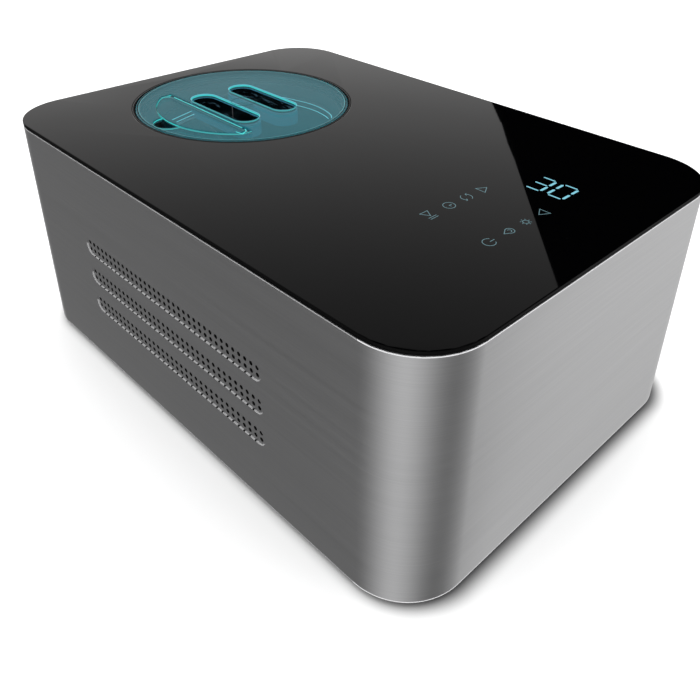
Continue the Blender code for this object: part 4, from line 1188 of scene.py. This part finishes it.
def floor_glow():
    """What the steel mirrors: the floor in front, with a light band and a dark band at the front corner."""
    centre = (LENGTH / 2 - CORNER, CORNER - WIDTH / 2)
    radius, reach, z = CORNER + 0.0004, 1.6, 0.002
    columns = [(GLOW_SPAN[0], (-3.0, centre[1] - radius), (-3.0, -3.0))]
    for facing in range(270, 361, 2):
        spot = arc(centre, radius, facing, facing, 1)[0]
        columns.append((facing, spot, Vector(spot) + bounce(spot, facing) * reach))
    for facing, along in ((365, 0.012), (370, 0.024), (GLOW_SPAN[1], 0.040)):
        spot = (centre[0] + radius, centre[1] + along)
        columns.append((facing, spot, Vector(spot) + bounce(spot, 360) * reach))
    columns.append((GLOW_SPAN[1], (centre[0] + radius, 3.0), (3.0, 3.0)))
    bm = bmesh.new()
    around = bm.loops.layers.uv.new("around")
    rows = [(facing, bm.verts.new((*near, z)), bm.verts.new((*far, z))) for facing, near, far in columns]
    low, high = GLOW_SPAN
    for (u, near, far), (next_u, next_near, next_far) in zip(rows, rows[1:]):
        face = bm.faces.new((near, far, next_far, next_near))
        for corner, value, away in zip(face.loops, (u, u, next_u, next_u), (0, 1, 1, 0)):
            corner[around].uv = ((value - low) / (high - low), away)
    tree, glow = glow_card("floor_glow", mesh_of("floor_glow", bm), (1.0, 1.0, 1.0))
    place = add(tree, "ShaderNodeTexCoord")
    split = add(tree, "ShaderNodeSeparateXYZ")
    ramp = add(tree, "ShaderNodeValToRGB")
    ramp.color_ramp.interpolation = "LINEAR"
    stops = ramp.color_ramp.elements
    while len(stops) < len(GLOW_STOPS):
        stops.new(0.5)
    for stop, (facing, value) in zip(stops, GLOW_STOPS):
        stop.position = (facing - low) / (high - low)
        stop.color = (value, value, value, 1.0)
    tree.links.new(place.outputs["UV"], split.inputs[0])
    tree.links.new(split.outputs["X"], ramp.inputs["Fac"])
    # Close to the case the bands pale into each other
    haze = ranged(tree, split.outputs["Y"], 0.0, 0.17, 0.27, 0.0)
    tone = mixed(tree, haze, ramp.outputs["Color"], (0.28, 0.28, 0.28))
    tree.links.new(tone, glow.inputs["Color"])
    glow_card("plain_glow", square("plain_glow", FLOOR_REACH, 0.001), (0.75, 0.75, 0.75))


def sky_glow():
    """What the glass mirrors: a wall of light to the left that fades upwards and ends at a slanted edge."""
    eye = Vector((VIEWPOINT.x, VIEWPOINT.y, 2 * TOP - VIEWPOINT.z))
    first, second = (Vector((*spot, TOP)) - eye for spot in ((0.0241, 0.1425), (0.2045, -0.0475)))
    slant = first.cross(second)
    reach, far_left = 20.0, 215
    bm = bmesh.new()
    rows = []
    for elevation in range(7, 64, 2):
        rise = math.tan(math.radians(elevation))
        edge = math.atan2(first.y, first.x)
        for _ in range(20):
            # The azimuth at which this elevation meets the slanted plane
            gap = slant.x * math.cos(edge) + slant.y * math.sin(edge) + slant.z * rise
            slope = slant.y * math.cos(edge) - slant.x * math.sin(edge)
            edge -= gap / slope
        outline = arc((eye.x, eye.y), reach, math.degrees(edge), far_left, 24)
        rows.append([bm.verts.new((x, y, eye.z + reach * rise)) for x, y in outline])
    for low, high in zip(rows, rows[1:]):
        for k in range(len(low) - 1):
            bm.faces.new((low[k], low[k + 1], high[k + 1], high[k]))
    tree, glow = glow_card("sky_glow", mesh_of("sky_glow", bm), (1.0, 0.99, 0.985))
    place = add(tree, "ShaderNodeNewGeometry")
    split = add(tree, "ShaderNodeSeparateXYZ")
    tree.links.new(place.outputs["Position"], split.inputs[0])
    level = split.outputs["Z"]
    for operation, value in SKY_FADE:
        step = add(tree, "ShaderNodeMath", operation=operation)
        step.inputs[1].default_value = value
        tree.links.new(level, step.inputs[0])
        level = step.outputs[0]
    tree.links.new(level, glow.inputs["Strength"])


def floor():
    """A plain white floor with a painted contact shadow where the case stands on it."""
    mesh = square("floor", FLOOR_REACH, 0.0)
    material, tree, shader = new_material("floor", roughness=0.9, Specular_IOR_Level=0.0)
    spot = add(tree, "ShaderNodeTexCoord").outputs["Object"]
    straight = (LENGTH / 2 - CORNER, WIDTH / 2 - CORNER, 0.0)
    none = (0.0, 0.0, 0.0)
    steps = (("SUBTRACT", SHADOW_OFFSET), ("ABSOLUTE", none), ("SUBTRACT", straight), ("MAXIMUM", none))
    for operation, value in steps:
        step = add(tree, "ShaderNodeVectorMath", operation=operation)
        step.inputs[1].default_value = value
        tree.links.new(spot, step.inputs[0])
        spot = step.outputs["Vector"]
    distance = add(tree, "ShaderNodeVectorMath", operation="LENGTH")
    tree.links.new(spot, distance.inputs[0])
    fade = ranged(tree, distance.outputs["Value"], *SHADOW_REACH, ease="SMOOTHERSTEP")
    tinted(tree, shader, fade, (0.06, 0.06, 0.062), (0.93, 0.93, 0.93))
    mesh.materials.append(material)
    put("floor", mesh)


def world():
    """White all round. Reflections see a pale horizon and a black sky."""
    sky = bpy.data.worlds.new("studio")
    bpy.context.scene.world = sky
    sky.use_nodes = True
    tree = sky.node_tree
    light = tree.nodes["Background"]
    rays = add(tree, "ShaderNodeLightPath")
    place = add(tree, "ShaderNodeTexCoord")
    split = add(tree, "ShaderNodeSeparateXYZ")
    tree.links.new(place.outputs["Generated"], split.inputs[0])
    horizon = ranged(tree, split.outputs["Z"], 0.02, 0.14, 0.45, 0.0)
    tone = mixed(tree, rays.outputs["Is Glossy Ray"], (1.7, 1.7, 1.7), horizon)
    tree.links.new(tone, light.inputs["Color"])


def build_object():
    finish_cad_nodes()
    case_shell()
    glass_panel()
    seat_ring()
    well_liner()
    bowl_shell()
    bowl_handle()
    paddle_blades()
    lid_disc()
    lid_lines()
    flap_plate()
    display_digits()
    touch_symbols()


def build_stage():
    floor()
    world()
    floor_glow()
    sky_glow()
    camera()
    bpy.context.scene.view_settings.view_transform = "Standard"


build_object()
build_stage()
